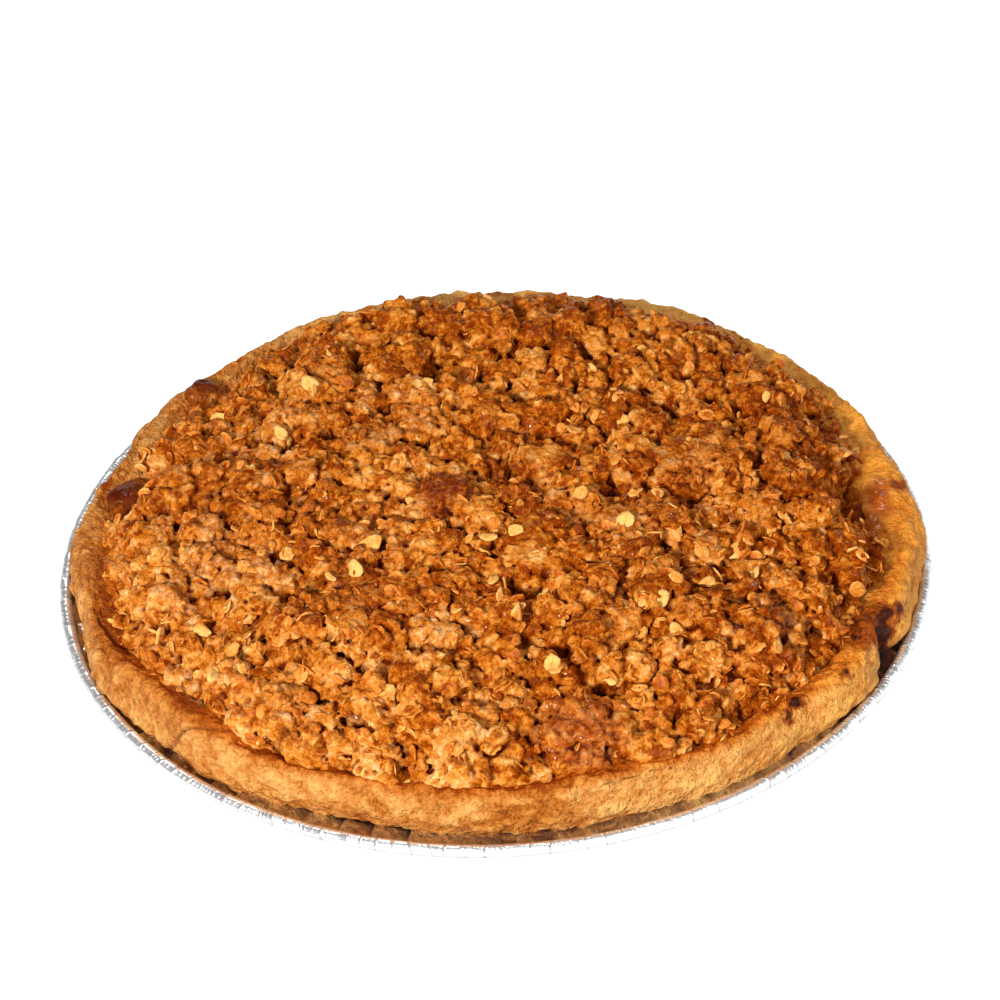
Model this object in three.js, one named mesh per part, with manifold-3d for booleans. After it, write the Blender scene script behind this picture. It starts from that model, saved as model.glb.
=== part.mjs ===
// An apple crumble pie in its own foil tin. Sizes are in millimetres, +Z is up and -Y is the front.
// The origin is the middle of the tin's underside. Angles are in degrees, counted from +X.
import * as THREE from "three";
import { mergeVertices } from "three/addons/utils/BufferGeometryUtils.js";
import Module from "manifold-3d";

const wasm = await Module();
wasm.setup();

// Tin: a pressed plate of pleated aluminium foil with a rolled bead round its edge.
const TIN_RADIUS = 122.25;
const TIN_DEPTH = 26;
const FOIL = 0.6;
const BEAD_RADIUS = 1.75;
const BASE_RADIUS = 91.5;
const FLANGE_INNER = 112.5;
const FLANGE_HEIGHT = 22.9;
const PLEATS = 80;
const PLEAT_DEPTH = 0.55;

// Clear space between pieces that touch.
const GAP = 0.35;

// Crust: the body of the pie, with a rolled rim that lies on the tin's flange.
const CRUST_OUTER = 116.2;
const CRUST_INNER = 107;
const CRUST_TOP = 38;
const FILLING_EDGE = 31;
const FILLING_MIDDLE = 34;
const FILLING_RADIUS = 70;
const RIM_COLUMNS = 120;
const FILLING_COLUMNS = 112;

// Swells and dents of the hand-formed rim: where, half its length in degrees, and its height.
const OUTER_SWELLS = [
  [180, 13, 3.3],
  [205, 15, 3.6],
  [229, 9, 2.0],
  [255, 24, -2.2],
  [285, 20, -0.8],
  [323, 13, 4.0],
  [331.5, 4, -3.4],
  [337, 6, 1.6],
  [354, 24, 4.8],
  [18, 16, 1.6],
  [59, 9, 1.8],
  [133, 12, -3.3],
  [161, 8, -2.6],
];
const INNER_SWELLS = [
  [240, 34, 1.8],
  [298, 16, 2.4],
  [331, 12, -2.6],
  [2, 24, -4.6],
  [49, 10, 2.5],
  [120, 12, 1.5],
  [150, 22, -2.4],
  [187, 14, -2.4],
];
const TOP_SWELLS = [
  [180, 30, -0.8],
  [226, 14, 1.2],
  [270, 40, 0.5],
  [320, 16, -0.7],
  [345, 12, -0.6],
];

// The sheet of pastry laps over itself at the front left, and ends there in a lip.
const LAP_END = 233;
const LAP_LENGTH = 30;
const LAP_RISE = 1.1;

// Crumble: a mounded heap of clumps, from its low edge by the rim up to its middle.
const HEAP_EDGE = 36;
const HEAP_MIDDLE = 47;
const HEAP_RINGS = 29;
const HEAP_STEP = 3.8;
const CLUMP_SEED = 7;
const CLUMP_TRIES = 2600;
const CLUMP_SMALL = 5.2;
const CLUMP_LARGE = 10;

// Knobs the size of a hazelnut that roughen the clumps.
const KNOB_SEED = 11;
const KNOB_TRIES = 2400;
const KNOB_RADIUS = 3.6;
const KNOB_RISE = 1.5;

// Clumps that stand out: x, y, radius and rise.
const LARGE_CLUMPS = [
  [-14, -9, 9.5, 6.5],
  [20, -97, 12, 6],
  [68, -65, 10.5, 6.5],
  [-33, 17, 10, 5.5],
  [-22, 84, 11, 6.5],
  [19, 73, 10.5, 6],
  [34, 93, 8, 7],
  [16, 5, 9, 7],
  [39, 26, 8.5, 5.5],
  [91, 26, 8.5, 6.5],
  [92, 2, 6, 5],
  [89, -36, 9, 6],
  [26, -68, 8.5, 5.5],
  [-92, -40, 9, 6.5],
  [-64, 74, 10, 6],
  [-48, 53, 11, 6],
  [53, -62, 9, 5],
  [-20, -80, 12, 5.5],
  [-39, -41, 11, 5.5],
  [-63, -38, 11, 5],
  [-83, 5, 10, 5.5],
  [56, 4, 11, 6],
  [50, 82, 9.5, 7],
  [67, 74, 8, 6],
];

// Rolled oats on the heap: their size, and the places of those that stand out.
const OAT_SEED = 23;
const OAT_COUNT = 20;
const OAT_LENGTH = 6.4;
const OAT_WIDTH = 5.2;
const OAT_THICKNESS = 1.1;
const OAT_SIDES = 6;
const LARGE_OATS = [
  [48, -28],
  [64, -36],
  [56, -49],
  [41, -55],
  [46, -69],
  [13, -78],
  [36, -20],
  [28, -85],
  [-30, -87],
  [-25, -51],
  [-51, -78],
  [-37, -36],
  [-77, 36],
  [-50, 51],
];

// Set syrup that boiled over the rim: angle and distance of its middle, half its length along the
// rim, half its width across it, the level of its edge and the rise of its crown.
const SYRUP_DEPTH = 2;
const SYRUP = {
  syrup_pool_back_left: { angle: 141.5, distance: 107, along: 5.6, across: 5.2, level: 37.6, crown: 3.6 },
  syrup_pool_left: { angle: 170, distance: 104.2, along: 7.4, across: 7, level: 37.2, crown: 2 },
  syrup_pool_right: { angle: 357, distance: 102, along: 8, across: 3.6, level: 34.6, crown: 1 },
};

const DEGREE = Math.PI / 180;

// Repeatable random numbers from 0 to 1.
function seeded(seed) {
  let state = seed;
  return () => {
    state = (state + 0x6d2b79f5) | 0;
    let mixed = Math.imul(state ^ (state >>> 15), 1 | state);
    mixed = (mixed + Math.imul(mixed ^ (mixed >>> 7), 61 | mixed)) ^ mixed;
    return ((mixed ^ (mixed >>> 14)) >>> 0) / 4294967296;
  };
}

// The sum of the swells at an angle, each a smooth hump.
function swellAt(swells, angle) {
  let sum = 0;
  for (const [middle, reach, rise] of swells) {
    const away = Math.abs(((angle - middle + 540) % 360) - 180);
    if (away < reach) sum += rise * (0.5 + 0.5 * Math.cos((Math.PI * away) / reach));
  }
  return sum;
}

// Small uneven waves all round the rim, from -1 to 1.
function ripple(angle, turn) {
  const a = angle * DEGREE;
  return (
    0.45 * Math.sin(11 * a + turn) +
    0.35 * Math.sin(19 * a + 2.3 * turn) +
    0.2 * Math.sin(31 * a + 4.1 * turn)
  );
}

// How much of the lapped layer lies at an angle: it fades in, and stops short at its lip.
function lapAt(angle) {
  const before = LAP_END - angle;
  return before > 0 && before < LAP_LENGTH ? 1 - before / LAP_LENGTH : 0;
}

function crustOuter(angle) {
  return CRUST_OUTER + swellAt(OUTER_SWELLS, angle) + 0.4 * ripple(angle, 1);
}

function crustInner(angle) {
  return CRUST_INNER + swellAt(INNER_SWELLS, angle) + 0.5 * ripple(angle, 2);
}

function crustTop(angle) {
  return CRUST_TOP + swellAt(TOP_SWELLS, angle) + 0.5 * ripple(angle, 3) + LAP_RISE * lapAt(angle);
}

// The section of the crust at an angle, as radius and height, from its base to the filling.
function crustSection(angle) {
  const outer = crustOuter(angle);
  const inner = crustInner(angle);
  const top = crustTop(angle);
  const width = outer - inner;
  const lift = Math.max(0, 0.6 * (outer - 117));
  return [
    [BASE_RADIUS - 1.4, FOIL + GAP],
    [FLANGE_INNER - 2.2, FLANGE_HEIGHT - 0.3],
    [outer - 2.6, FLANGE_HEIGHT + 1.5 + lift],
    [outer - 0.4, FLANGE_HEIGHT + 3.6 + lift],
    [outer, FLANGE_HEIGHT + 6.6 + 0.6 * lift],
    [outer - 0.14 * width, top - 3.2],
    [outer - 0.34 * width, top - 0.4],
    [outer - 0.64 * width, top],
    [inner + 0.1 * width, top - 1],
    [inner - 0.4, 34.4],
    [inner - 3, FILLING_EDGE],
  ];
}

// A point at an angle, distance and height.
function polar(angle, distance, height) {
  return [distance * Math.cos(angle * DEGREE), distance * Math.sin(angle * DEGREE), height];
}

// A pole is a ring of one point.
function pole(height) {
  return { count: 1, at: () => [0, 0, height] };
}

// Triangles between two neighbouring rings, whose counts may differ.
function zipRings(low, high, faces) {
  const lowSteps = low.count > 1 ? low.count : 0;
  const highSteps = high.count > 1 ? high.count : 0;
  let i = 0;
  let j = 0;
  while (i < lowSteps || j < highSteps) {
    const a = low.first + (i % low.count);
    const b = high.first + (j % high.count);
    if (j === highSteps || (i < lowSteps && (i + 1) * highSteps <= (j + 1) * lowSteps)) {
      faces.push(a, low.first + ((i + 1) % low.count), b);
      i++;
    } else {
      faces.push(a, high.first + ((j + 1) % high.count), b);
      j++;
    }
  }
}

// A closed skin over rings that run from a pole underneath, out and up, to a pole on top.
function skinOver(rings) {
  const points = [];
  const faces = [];
  const placed = rings.map(({ count, at }) => {
    const first = points.length / 3;
    for (let i = 0; i < count; i++) points.push(...at((360 * i) / count));
    return { first, count };
  });
  for (let k = 1; k < placed.length; k++) zipRings(placed[k - 1], placed[k], faces);
  const geometry = new THREE.BufferGeometry();
  geometry.setAttribute("position", new THREE.Float32BufferAttribute(points, 3));
  geometry.setIndex(faces);
  return geometry;
}

function solidFrom(geometry) {
  return new wasm.Manifold(
    new wasm.Mesh({
      numProp: 3,
      vertProperties: new Float32Array(geometry.attributes.position.array),
      triVerts: new Uint32Array(geometry.index.array),
    }),
  );
}

function geometryFrom(solid) {
  const mesh = solid.getMesh();
  const geometry = new THREE.BufferGeometry();
  geometry.setAttribute("position", new THREE.BufferAttribute(mesh.vertProperties, 3));
  geometry.setIndex(new THREE.BufferAttribute(mesh.triVerts, 1));
  return geometry;
}

// Foil tin: flat base, sloped wall with sharp pleats, flange and rolled bead, in one thin shell.
function foilTin() {
  const beadMiddle = [TIN_RADIUS - BEAD_RADIUS, TIN_DEPTH - BEAD_RADIUS];
  const ring = (distance, height, count = PLEATS) => ({
    count,
    at: (angle) => polar(angle, distance, height),
  });
  const pleated = (distance, height, depth) => ({
    count: 2 * PLEATS,
    at: (angle) => {
      const fold = Math.round((angle * PLEATS) / 180) % 2 ? -depth : depth;
      return polar(angle, distance + fold, height);
    },
  });
  const bead = [-110, -50, 10, 70, 125, 180].map((turn) =>
    ring(
      beadMiddle[0] + BEAD_RADIUS * Math.cos(turn * DEGREE),
      beadMiddle[1] + BEAD_RADIUS * Math.sin(turn * DEGREE),
    ),
  );
  const flangeOuter = TIN_RADIUS - 2 * BEAD_RADIUS - 0.8;
  const underside = [
    pole(0),
    ring(BASE_RADIUS, 0),
    pleated(BASE_RADIUS + 3.6, 3.2, 0.4 * PLEAT_DEPTH),
    pleated(FLANGE_INNER, FLANGE_HEIGHT - FOIL, PLEAT_DEPTH),
    ring(flangeOuter, FLANGE_HEIGHT - FOIL - 0.3),
  ];
  const inside = [
    ring(flangeOuter - 0.2, FLANGE_HEIGHT + 0.1),
    pleated(FLANGE_INNER - 0.5, FLANGE_HEIGHT, PLEAT_DEPTH),
    pleated(BASE_RADIUS + 3, 3.4, 0.4 * PLEAT_DEPTH),
    ring(BASE_RADIUS - 0.4, FOIL),
    pole(FOIL),
  ];
  return skinOver([...underside, ...bead, ...inside]);
}

// Crust: a solid pie body whose rim rolls out over the flange.
function pieCrust() {
  const counts = [PLEATS, PLEATS, ...Array(8).fill(RIM_COLUMNS), FILLING_COLUMNS];
  const section = counts.map((count, k) => ({
    count,
    at: (angle) => polar(angle, ...crustSection(angle)[k]),
  }));
  return skinOver([pole(FOIL + GAP), ...section, fillingRing(0), pole(FILLING_MIDDLE)]);
}

// The ring half-way across the top of the filling, raised by the gap for what lies on it.
function fillingRing(raised) {
  return {
    count: FILLING_COLUMNS / 2,
    at: (angle) => polar(angle, FILLING_RADIUS, FILLING_MIDDLE - 0.9 + raised),
  };
}

// All clumps of the heap: the large ones, then smaller ones dropped wherever there is room.
function allClumps() {
  const random = seeded(CLUMP_SEED);
  const clumps = LARGE_CLUMPS.map((row) => [...row]);
  for (let i = 0; i < CLUMP_TRIES; i++) {
    const distance = CRUST_INNER * Math.sqrt(random());
    const angle = 360 * random();
    const radius = CLUMP_SMALL + (CLUMP_LARGE - CLUMP_SMALL) * random() ** 2;
    const rise = radius * (0.42 + 0.22 * random());
    const [x, y] = polar(angle, distance, 0);
    const inside = distance + 0.6 * radius < crustInner(angle);
    const clear = clumps.every(([cx, cy, cr]) => Math.hypot(x - cx, y - cy) > 0.72 * (radius + cr));
    if (inside && clear) clumps.push([x, y, radius, rise]);
  }
  return clumps;
}

// Knobs scattered over the clumps, as near to each other as they fit.
function allKnobs() {
  const random = seeded(KNOB_SEED);
  const knobs = [];
  for (let i = 0; i < KNOB_TRIES; i++) {
    const [x, y] = polar(360 * random(), CRUST_INNER * Math.sqrt(random()), 0);
    const radius = KNOB_RADIUS * (0.75 + 0.5 * random());
    if (knobs.every(([kx, ky, kr]) => Math.hypot(x - kx, y - ky) > 0.75 * (radius + kr))) {
      knobs.push([x, y, radius, (KNOB_RISE * radius) / KNOB_RADIUS]);
    }
  }
  return knobs;
}

// The height of the highest round top at a place.
function topAt(x, y, tops) {
  let raised = 0;
  for (const [cx, cy, radius, rise] of tops) {
    const away = Math.hypot(x - cx, y - cy) / radius;
    if (away < 1) raised = Math.max(raised, rise * Math.sqrt(1 - away * away));
  }
  return raised;
}

// The height of the heap: a mound with the round tops of its clumps and knobs standing out of it.
function heapHeight(x, y, { clumps, knobs }) {
  const angle = (Math.atan2(y, x) / DEGREE + 360) % 360;
  const share = Math.min(1, Math.hypot(x, y) / crustInner(angle));
  const mound = HEAP_EDGE + (HEAP_MIDDLE - HEAP_EDGE) * (1 - share ** 5) ** 0.9;
  return mound + topAt(x, y, clumps) + topAt(x, y, knobs);
}

// One rolled oat: a flat oval flake that lies on the heap at a place, turned and a little tipped.
function oatAt(x, y, heap, random) {
  const half = OAT_THICKNESS / 2;
  const size = 0.85 + 0.3 * random();
  const rim = (height) => ({
    count: OAT_SIDES,
    at: (angle) => [
      0.5 * size * OAT_LENGTH * Math.cos(angle * DEGREE),
      0.5 * size * OAT_WIDTH * Math.sin(angle * DEGREE),
      height,
    ],
  });
  const flake = skinOver([pole(-half), rim(-half), rim(half), pole(half)]);
  const z = heapHeight(x, y, heap);
  const slopeX = (heapHeight(x + 2, y, heap) - heapHeight(x - 2, y, heap)) / 4;
  const slopeY = (heapHeight(x, y + 2, heap) - heapHeight(x, y - 2, heap)) / 4;
  flake.rotateX(0.35 * random());
  flake.rotateZ(2 * Math.PI * random());
  flake.rotateX(Math.atan(slopeY));
  flake.rotateY(-Math.atan(slopeX));
  flake.translate(x, y, z + 0.25);
  return solidFrom(flake);
}

// Crumble topping: the heap with the larger oats set in it, cut clear of the syrup, without any
// crumb that the cut leaves loose.
function crumbleTopping() {
  const tops = { clumps: allClumps(), knobs: allKnobs() };
  const edge = (angle) => crustInner(angle) - 0.9;
  const underside = {
    count: FILLING_COLUMNS,
    at: (angle) => polar(angle, crustInner(angle) - 3.7, FILLING_EDGE + GAP + 0.1),
  };
  const rings = [pole(FILLING_MIDDLE + GAP), fillingRing(GAP), underside];
  for (let k = HEAP_RINGS; k > 0; k--) {
    const share = k / HEAP_RINGS;
    const count = Math.round((2 * Math.PI * share * CRUST_INNER) / HEAP_STEP);
    const at = (angle) => {
      const [x, y] = polar(angle, share * edge(angle), 0);
      return [x, y, k === HEAP_RINGS ? HEAP_EDGE : heapHeight(x, y, tops)];
    };
    rings.push({ count, at });
  }
  rings.push(pole(heapHeight(0, 0, tops)));
  let heap = solidFrom(skinOver(rings));
  const random = seeded(OAT_SEED);
  const places = LARGE_OATS.map((row) => [...row]);
  while (places.length < LARGE_OATS.length + OAT_COUNT) {
    const [x, y] = polar(360 * random(), 0.9 * CRUST_INNER * Math.sqrt(random()), 0);
    if (places.every(([px, py]) => Math.hypot(x - px, y - py) > 9)) places.push([x, y]);
  }
  for (const [x, y] of places) heap = heap.add(oatAt(x, y, tops, random));
  for (const pool of Object.values(SYRUP)) heap = heap.subtract(syrupBlob(pool, GAP));
  const scraps = heap.decompose().sort((a, b) => b.volume() - a.volume());
  return geometryFrom(scraps[0]);
}

// A blob of syrup, standing through the crust's surface up to its crown.
function syrupBlob({ angle, distance, along, across, level, crown }, grown) {
  const blob = new THREE.SphereGeometry(1, 14, 8);
  blob.rotateX(Math.PI / 2);
  blob.scale(across + grown, along + grown, SYRUP_DEPTH + crown + grown);
  blob.rotateZ(angle * DEGREE);
  blob.translate(...polar(angle, distance, level - SYRUP_DEPTH));
  blob.deleteAttribute("normal");
  blob.deleteAttribute("uv");
  return solidFrom(mergeVertices(blob));
}

// A pool of set syrup: what stands of its blob above the crust, with the gap left under it.
function syrupPool(pool, crust) {
  const raised = crust.clone().translate(0, 0, GAP);
  return geometryFrom(syrupBlob(pool, 0).subtract(solidFrom(crust)).subtract(solidFrom(raised)));
}

function addPiece(group, name, geometry, color, roughness, metalness) {
  const material = new THREE.MeshStandardMaterial({ color, roughness, metalness });
  material.flatShading = true;
  const mesh = new THREE.Mesh(geometry, material);
  mesh.name = name;
  group.add(mesh);
}

const pie = new THREE.Group();
const crust = pieCrust();
addPiece(pie, "foil_tin", foilTin(), 0xd9dadb, 0.25, 1);
addPiece(pie, "pie_crust", crust, 0xdc9a52, 0.6, 0);
addPiece(pie, "crumble_topping", crumbleTopping(), 0xb3662c, 0.65, 0);
for (const [name, pool] of Object.entries(SYRUP)) {
  addPiece(pie, name, syrupPool(pool, crust), 0x6d2a0c, 0.12, 0);
}

export default pie;
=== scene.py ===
"""An apple crumble pie in its own foil tin. Sizes are in millimetres, and a mesh is scaled to metres
when it is made. Angles are in degrees, counted from +X. The front is -Y."""

import math

import bpy
import numpy as np
import openvdb
from mathutils import Euler, Matrix, Vector


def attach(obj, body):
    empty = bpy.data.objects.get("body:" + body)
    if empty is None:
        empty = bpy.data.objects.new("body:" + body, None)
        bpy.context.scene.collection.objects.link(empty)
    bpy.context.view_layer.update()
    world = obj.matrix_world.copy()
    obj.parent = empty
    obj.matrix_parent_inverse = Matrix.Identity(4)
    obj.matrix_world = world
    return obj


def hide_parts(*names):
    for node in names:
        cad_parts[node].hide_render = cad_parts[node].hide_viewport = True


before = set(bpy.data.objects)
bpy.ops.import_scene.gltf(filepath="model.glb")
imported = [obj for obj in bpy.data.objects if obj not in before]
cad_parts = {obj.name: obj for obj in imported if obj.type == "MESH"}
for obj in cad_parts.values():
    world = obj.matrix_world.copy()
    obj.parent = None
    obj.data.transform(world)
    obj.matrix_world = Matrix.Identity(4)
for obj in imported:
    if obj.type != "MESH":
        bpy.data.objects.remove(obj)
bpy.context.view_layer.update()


# ---------------------------------------------------------------------------------------------
# Room. A white table under soft white light, as for a shop picture. One large soft lamp stands
# at the front left, weaker ones above at the back and at the front right, and white walls light the rest.
# ---------------------------------------------------------------------------------------------
MM = 0.001
EYE = (0, -691.1, 570.7)
AIM = (2.35, 24.64, 24.25)
ROLL = -2.76
LENS = 112.5
SENSOR = 36
TABLE_SIZE = 6000
WALL_LIGHT = 0.24
WALL_SHINE = 1.0
DARK_PART = 0.12


def node(tree, kind, settings=None, **inputs):
    """A node with its settings and, by socket name, its values and links."""
    made = tree.nodes.new(kind)
    for key, value in (settings or {}).items():
        setattr(made, key, value)
    for key, value in inputs.items():
        feed(tree, made.inputs[key.replace("_", " ")], value)
    return made


def feed(tree, socket, value):
    if isinstance(value, bpy.types.NodeSocket):
        tree.links.new(value, socket)
    else:
        socket.default_value = value


def calc(tree, operation, *values, clamp=False):
    made = tree.nodes.new("ShaderNodeMath")
    made.operation = operation
    made.use_clamp = clamp
    for socket, value in zip(made.inputs, values):
        feed(tree, socket, value)
    return made.outputs[0]


def mixed(tree, share, low, high, kind="MIX"):
    """The colour between two others at a share from 0 to 1."""
    made = tree.nodes.new("ShaderNodeMix")
    made.data_type = "RGBA"
    made.blend_type = kind
    for index, value in ((0, share), (6, low), (7, high)):
        feed(tree, made.inputs[index], value)
    return made.outputs[2]


def spread(tree, value, low, high, start=0.0, end=1.0):
    """A value taken from the range low to high to the range start to end, and held there."""
    made = node(tree, "ShaderNodeMapRange", {"interpolation_type": "SMOOTHSTEP"}, Value=value)
    for name, number in (("From Min", low), ("From Max", high), ("To Min", start), ("To Max", end)):
        feed(tree, made.inputs[name], number)
    return made.outputs[0]


def new_material(name):
    """A named material with a Principled shader on its output."""
    material = bpy.data.materials.new(name)
    material.use_nodes = True
    tree = material.node_tree
    shader = next(n for n in tree.nodes if n.type == "BSDF_PRINCIPLED")
    return material, tree, shader


def aimed(obj, eye, aim, roll=0.0):
    """The object stands at eye, and looks along its -Z towards aim."""
    ahead = (Vector(aim) - Vector(eye)).normalized()
    right = ahead.cross(Vector((0, 0, 1))).normalized()
    up = right.cross(ahead)
    turn = math.radians(roll)
    across = right * math.cos(turn) + up * math.sin(turn)
    above = up * math.cos(turn) - right * math.sin(turn)
    rows = Matrix((across, above, -ahead)).transposed().to_4x4()
    obj.matrix_world = Matrix.Translation(Vector(eye) * MM) @ rows
    bpy.context.scene.collection.objects.link(obj)
    return obj


def soft_lamp(name, place, width, power, colour):
    lamp = bpy.data.lights.new(name, "AREA")
    lamp.shape = "DISK"
    lamp.size = width * MM
    lamp.energy = power
    lamp.color = colour
    return aimed(bpy.data.objects.new(name, lamp), place, (0, 0, 30))


camera = bpy.data.cameras.new("camera")
camera.lens = LENS
camera.sensor_width = SENSOR
bpy.context.scene.camera = aimed(bpy.data.objects.new("camera", camera), EYE, AIM, ROLL)

soft_lamp("key_lamp", (-430, -900, 600), 170, 14.0, (1.0, 0.98, 0.95))
soft_lamp("top_lamp", (-200, 500, 1000), 300, 3.0, (1.0, 0.99, 0.97))
soft_lamp("side_lamp", (650, -250, 450), 220, 1.5, (1.0, 0.97, 0.92))

world = bpy.data.worlds.new("studio")
world.use_nodes = True
bpy.context.scene.world = world
walls = world.node_tree
walls.nodes.clear()
ray = walls.nodes.new("ShaderNodeLightPath")
ahead = node(walls, "ShaderNodeSeparateXYZ", Vector=walls.nodes.new("ShaderNodeTexCoord").outputs["Generated"])
front = spread(walls, ahead.outputs["Y"], 0.30, -0.15)
low = spread(walls, ahead.outputs["Z"], 0.50, 0.22)
lit = calc(walls, "MAXIMUM", front, low)
band = calc(walls, "MULTIPLY", spread(walls, ahead.outputs["Z"], 0.08, 0.16), spread(walls, ahead.outputs["Z"], 0.32, 0.22))
lit = calc(walls, "SUBTRACT", lit, calc(walls, "MULTIPLY", band, 0.55))
dark_side = spread(walls, ahead.outputs["X"], 0.0, -0.44)
lit = calc(walls, "SUBTRACT", lit, calc(walls, "MULTIPLY", dark_side, 0.88), clamp=True)
shine = calc(walls, "MULTIPLY_ADD", lit, WALL_SHINE - DARK_PART, DARK_PART)
strength = calc(walls, "MAXIMUM", ray.outputs["Is Camera Ray"], shine)
fill = calc(walls, "MULTIPLY", ray.outputs["Is Diffuse Ray"], WALL_LIGHT)
strength = calc(walls, "MULTIPLY", strength, calc(walls, "SUBTRACT", 1.0, ray.outputs["Is Diffuse Ray"]))
glow = node(walls, "ShaderNodeBackground", Color=(1, 1, 1, 1), Strength=calc(walls, "ADD", strength, fill))
room = walls.nodes.new("ShaderNodeOutputWorld")
walls.links.new(glow.outputs[0], room.inputs["Surface"])

table_mesh = bpy.data.meshes.new("table")
half = TABLE_SIZE * MM / 2
table_mesh.from_pydata(
    [(-half, -half, 0), (half, -half, 0), (half, half, 0), (-half, half, 0)], [], [(0, 1, 2, 3)]
)
table = bpy.data.objects.new("table", table_mesh)
bpy.context.scene.collection.objects.link(table)
white_top, tree, shader = new_material("white table top")
feed(tree, shader.inputs["Base Color"], (0.5, 0.5, 0.5, 1))
feed(tree, shader.inputs["Roughness"], 0.9)
feed(tree, shader.inputs["Emission Color"], (1, 1, 1, 1))
ray = tree.nodes.new("ShaderNodeLightPath")
beside = node(tree, "ShaderNodeSeparateXYZ", Vector=node(tree, "ShaderNodeTexCoord").outputs["Object"])
far = node(tree, "ShaderNodeVectorMath", {"operation": "LENGTH"})
feed(tree, far.inputs[0], node(tree, "ShaderNodeTexCoord").outputs["Object"])
# Painted shadow and shade seen only in reflections: to shiny parts the table is darker near the tin's foot, where the
# tin would shade it, and towards the left.
painted_dark_reflection = calc(tree, "MAXIMUM", spread(tree, beside.outputs["X"], -0.13, 0.02, 0.65, 0.12), spread(tree, far.outputs["Value"], 0.150, 0.136, 0.0, 0.75))
painted_dark_reflection = calc(tree, "MULTIPLY", ray.outputs["Is Glossy Ray"], painted_dark_reflection)
bounced = calc(tree, "MULTIPLY", ray.outputs["Is Diffuse Ray"], 0.85)
glow = calc(tree, "SUBTRACT", calc(tree, "SUBTRACT", 1.0, bounced), painted_dark_reflection, clamp=True)
feed(tree, shader.inputs["Emission Strength"], glow)
table_mesh.materials.append(white_top)

bpy.context.scene.view_settings.view_transform = "Standard"
bpy.context.scene.view_settings.look = "None"


# ---------------------------------------------------------------------------------------------
# Foil tin. A pie plate pressed from thin aluminium foil: flat base, sloped wall with uneven
# pleats, narrow flange, and a rolled bead that is crimped all the way round.
# ---------------------------------------------------------------------------------------------
TIN_RADIUS = 122.25
TIN_DEPTH = 26
FOIL = 0.3
BEAD_RADIUS = 1.75
BASE_RADIUS = 91.5
FLANGE_INNER = 112.5
FLANGE_HEIGHT = 22.9
PLEATS = 80
PLEAT_DEPTH = 0.55
CRIMPS = 160
TIN_COLUMNS = 960


def value_noise(points, size, seed):
    """Smooth noise from -1 to 1 at points, with lumps of about a size."""
    tilt = np.array(Euler((0.6 + seed, 0.9 + 0.7 * seed, 0.4 * seed)).to_matrix())
    scaled = points @ tilt / size
    cell = np.floor(scaled).astype(np.int64)
    part = scaled - cell
    part = part * part * (3 - 2 * part)
    total = np.zeros(len(points))
    for corner in range(8):
        step = np.array([corner & 1, corner >> 1 & 1, corner >> 2])
        x, y, z = (cell + step).T
        mix = (x * 73856093 ^ y * 19349663 ^ z * 83492791 ^ seed * 2654435761) & 0xFFFFFFFF
        mix = (mix ^ (mix >> 15)) * 2246822519 & 0xFFFFFFFF
        mix = (mix ^ (mix >> 13)) * 3266489917 & 0xFFFFFFFF
        share = np.where(step, part, 1 - part).prod(1)
        total += share * (((mix ^ (mix >> 16)) & 0xFFFFFFFF) / 2147483648.0 - 1)
    return total


def grid_faces(rows, columns):
    """Quads between neighbouring rings of points, each closed round the pie."""
    row = np.arange(rows - 1)[:, None] * columns
    here = np.arange(columns)[None, :]
    after = (here + 1) % columns
    quads = (row + here, row + after, row + columns + after, row + columns + here)
    return np.stack(quads, -1).reshape(-1, 4)


def fan_faces(ring, pole, inwards):
    """Triangles from a ring of point numbers to a pole."""
    after = np.roll(ring, -1)
    pair = (after, ring) if inwards else (ring, after)
    return np.stack([*pair, np.full(len(ring), pole)], -1)


def make_piece(name, points, face_sets, material, slot, *nodes, **masks):
    """A smooth mesh piece on the pie, with a number for each point in every mask."""
    mesh = bpy.data.meshes.new(name)
    corners = np.concatenate([faces.ravel() for faces in face_sets])
    sides = np.concatenate([np.full(len(faces), faces.shape[1]) for faces in face_sets])
    mesh.vertices.add(len(points))
    mesh.vertices.foreach_set("co", (points * MM).astype(np.float32).ravel())
    mesh.loops.add(len(corners))
    mesh.loops.foreach_set("vertex_index", corners.astype(np.int32))
    mesh.polygons.add(len(sides))
    mesh.polygons.foreach_set("loop_start", (np.cumsum(sides) - sides).astype(np.int32))
    mesh.update(calc_edges=True)
    mesh.validate()
    mesh.shade_smooth()
    for mask, values in masks.items():
        mesh.attributes.new(mask, "FLOAT", "POINT").data.foreach_set("value", values.astype(np.float32))
    mesh.materials.append(material)
    piece = bpy.data.objects.new(name, mesh)
    bpy.context.scene.collection.objects.link(piece)
    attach(piece, "root")
    if nodes:
        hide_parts(*nodes)
    return piece


def smooth_section(section, steps):
    """Sections drawn smoothly through their corners: (columns, corners, 2) to (columns, many, 2)."""
    first, last = section[:, :1], section[:, -1:]
    held = np.concatenate([2 * first - section[:, 1:2], section, 2 * last - section[:, -2:-1]], 1)
    out = []
    for k, count in enumerate(steps):
        a, b, c, d = (held[:, k + i][:, None] for i in range(4))
        t = (np.arange(count) / count)[None, :, None]
        out.append(
            b + 0.5 * t * (c - a + t * (2 * a - 5 * b + 4 * c - d + t * (3 * (b - c) + d - a)))
        )
    out.append(last)
    return np.concatenate(out, 1)


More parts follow.
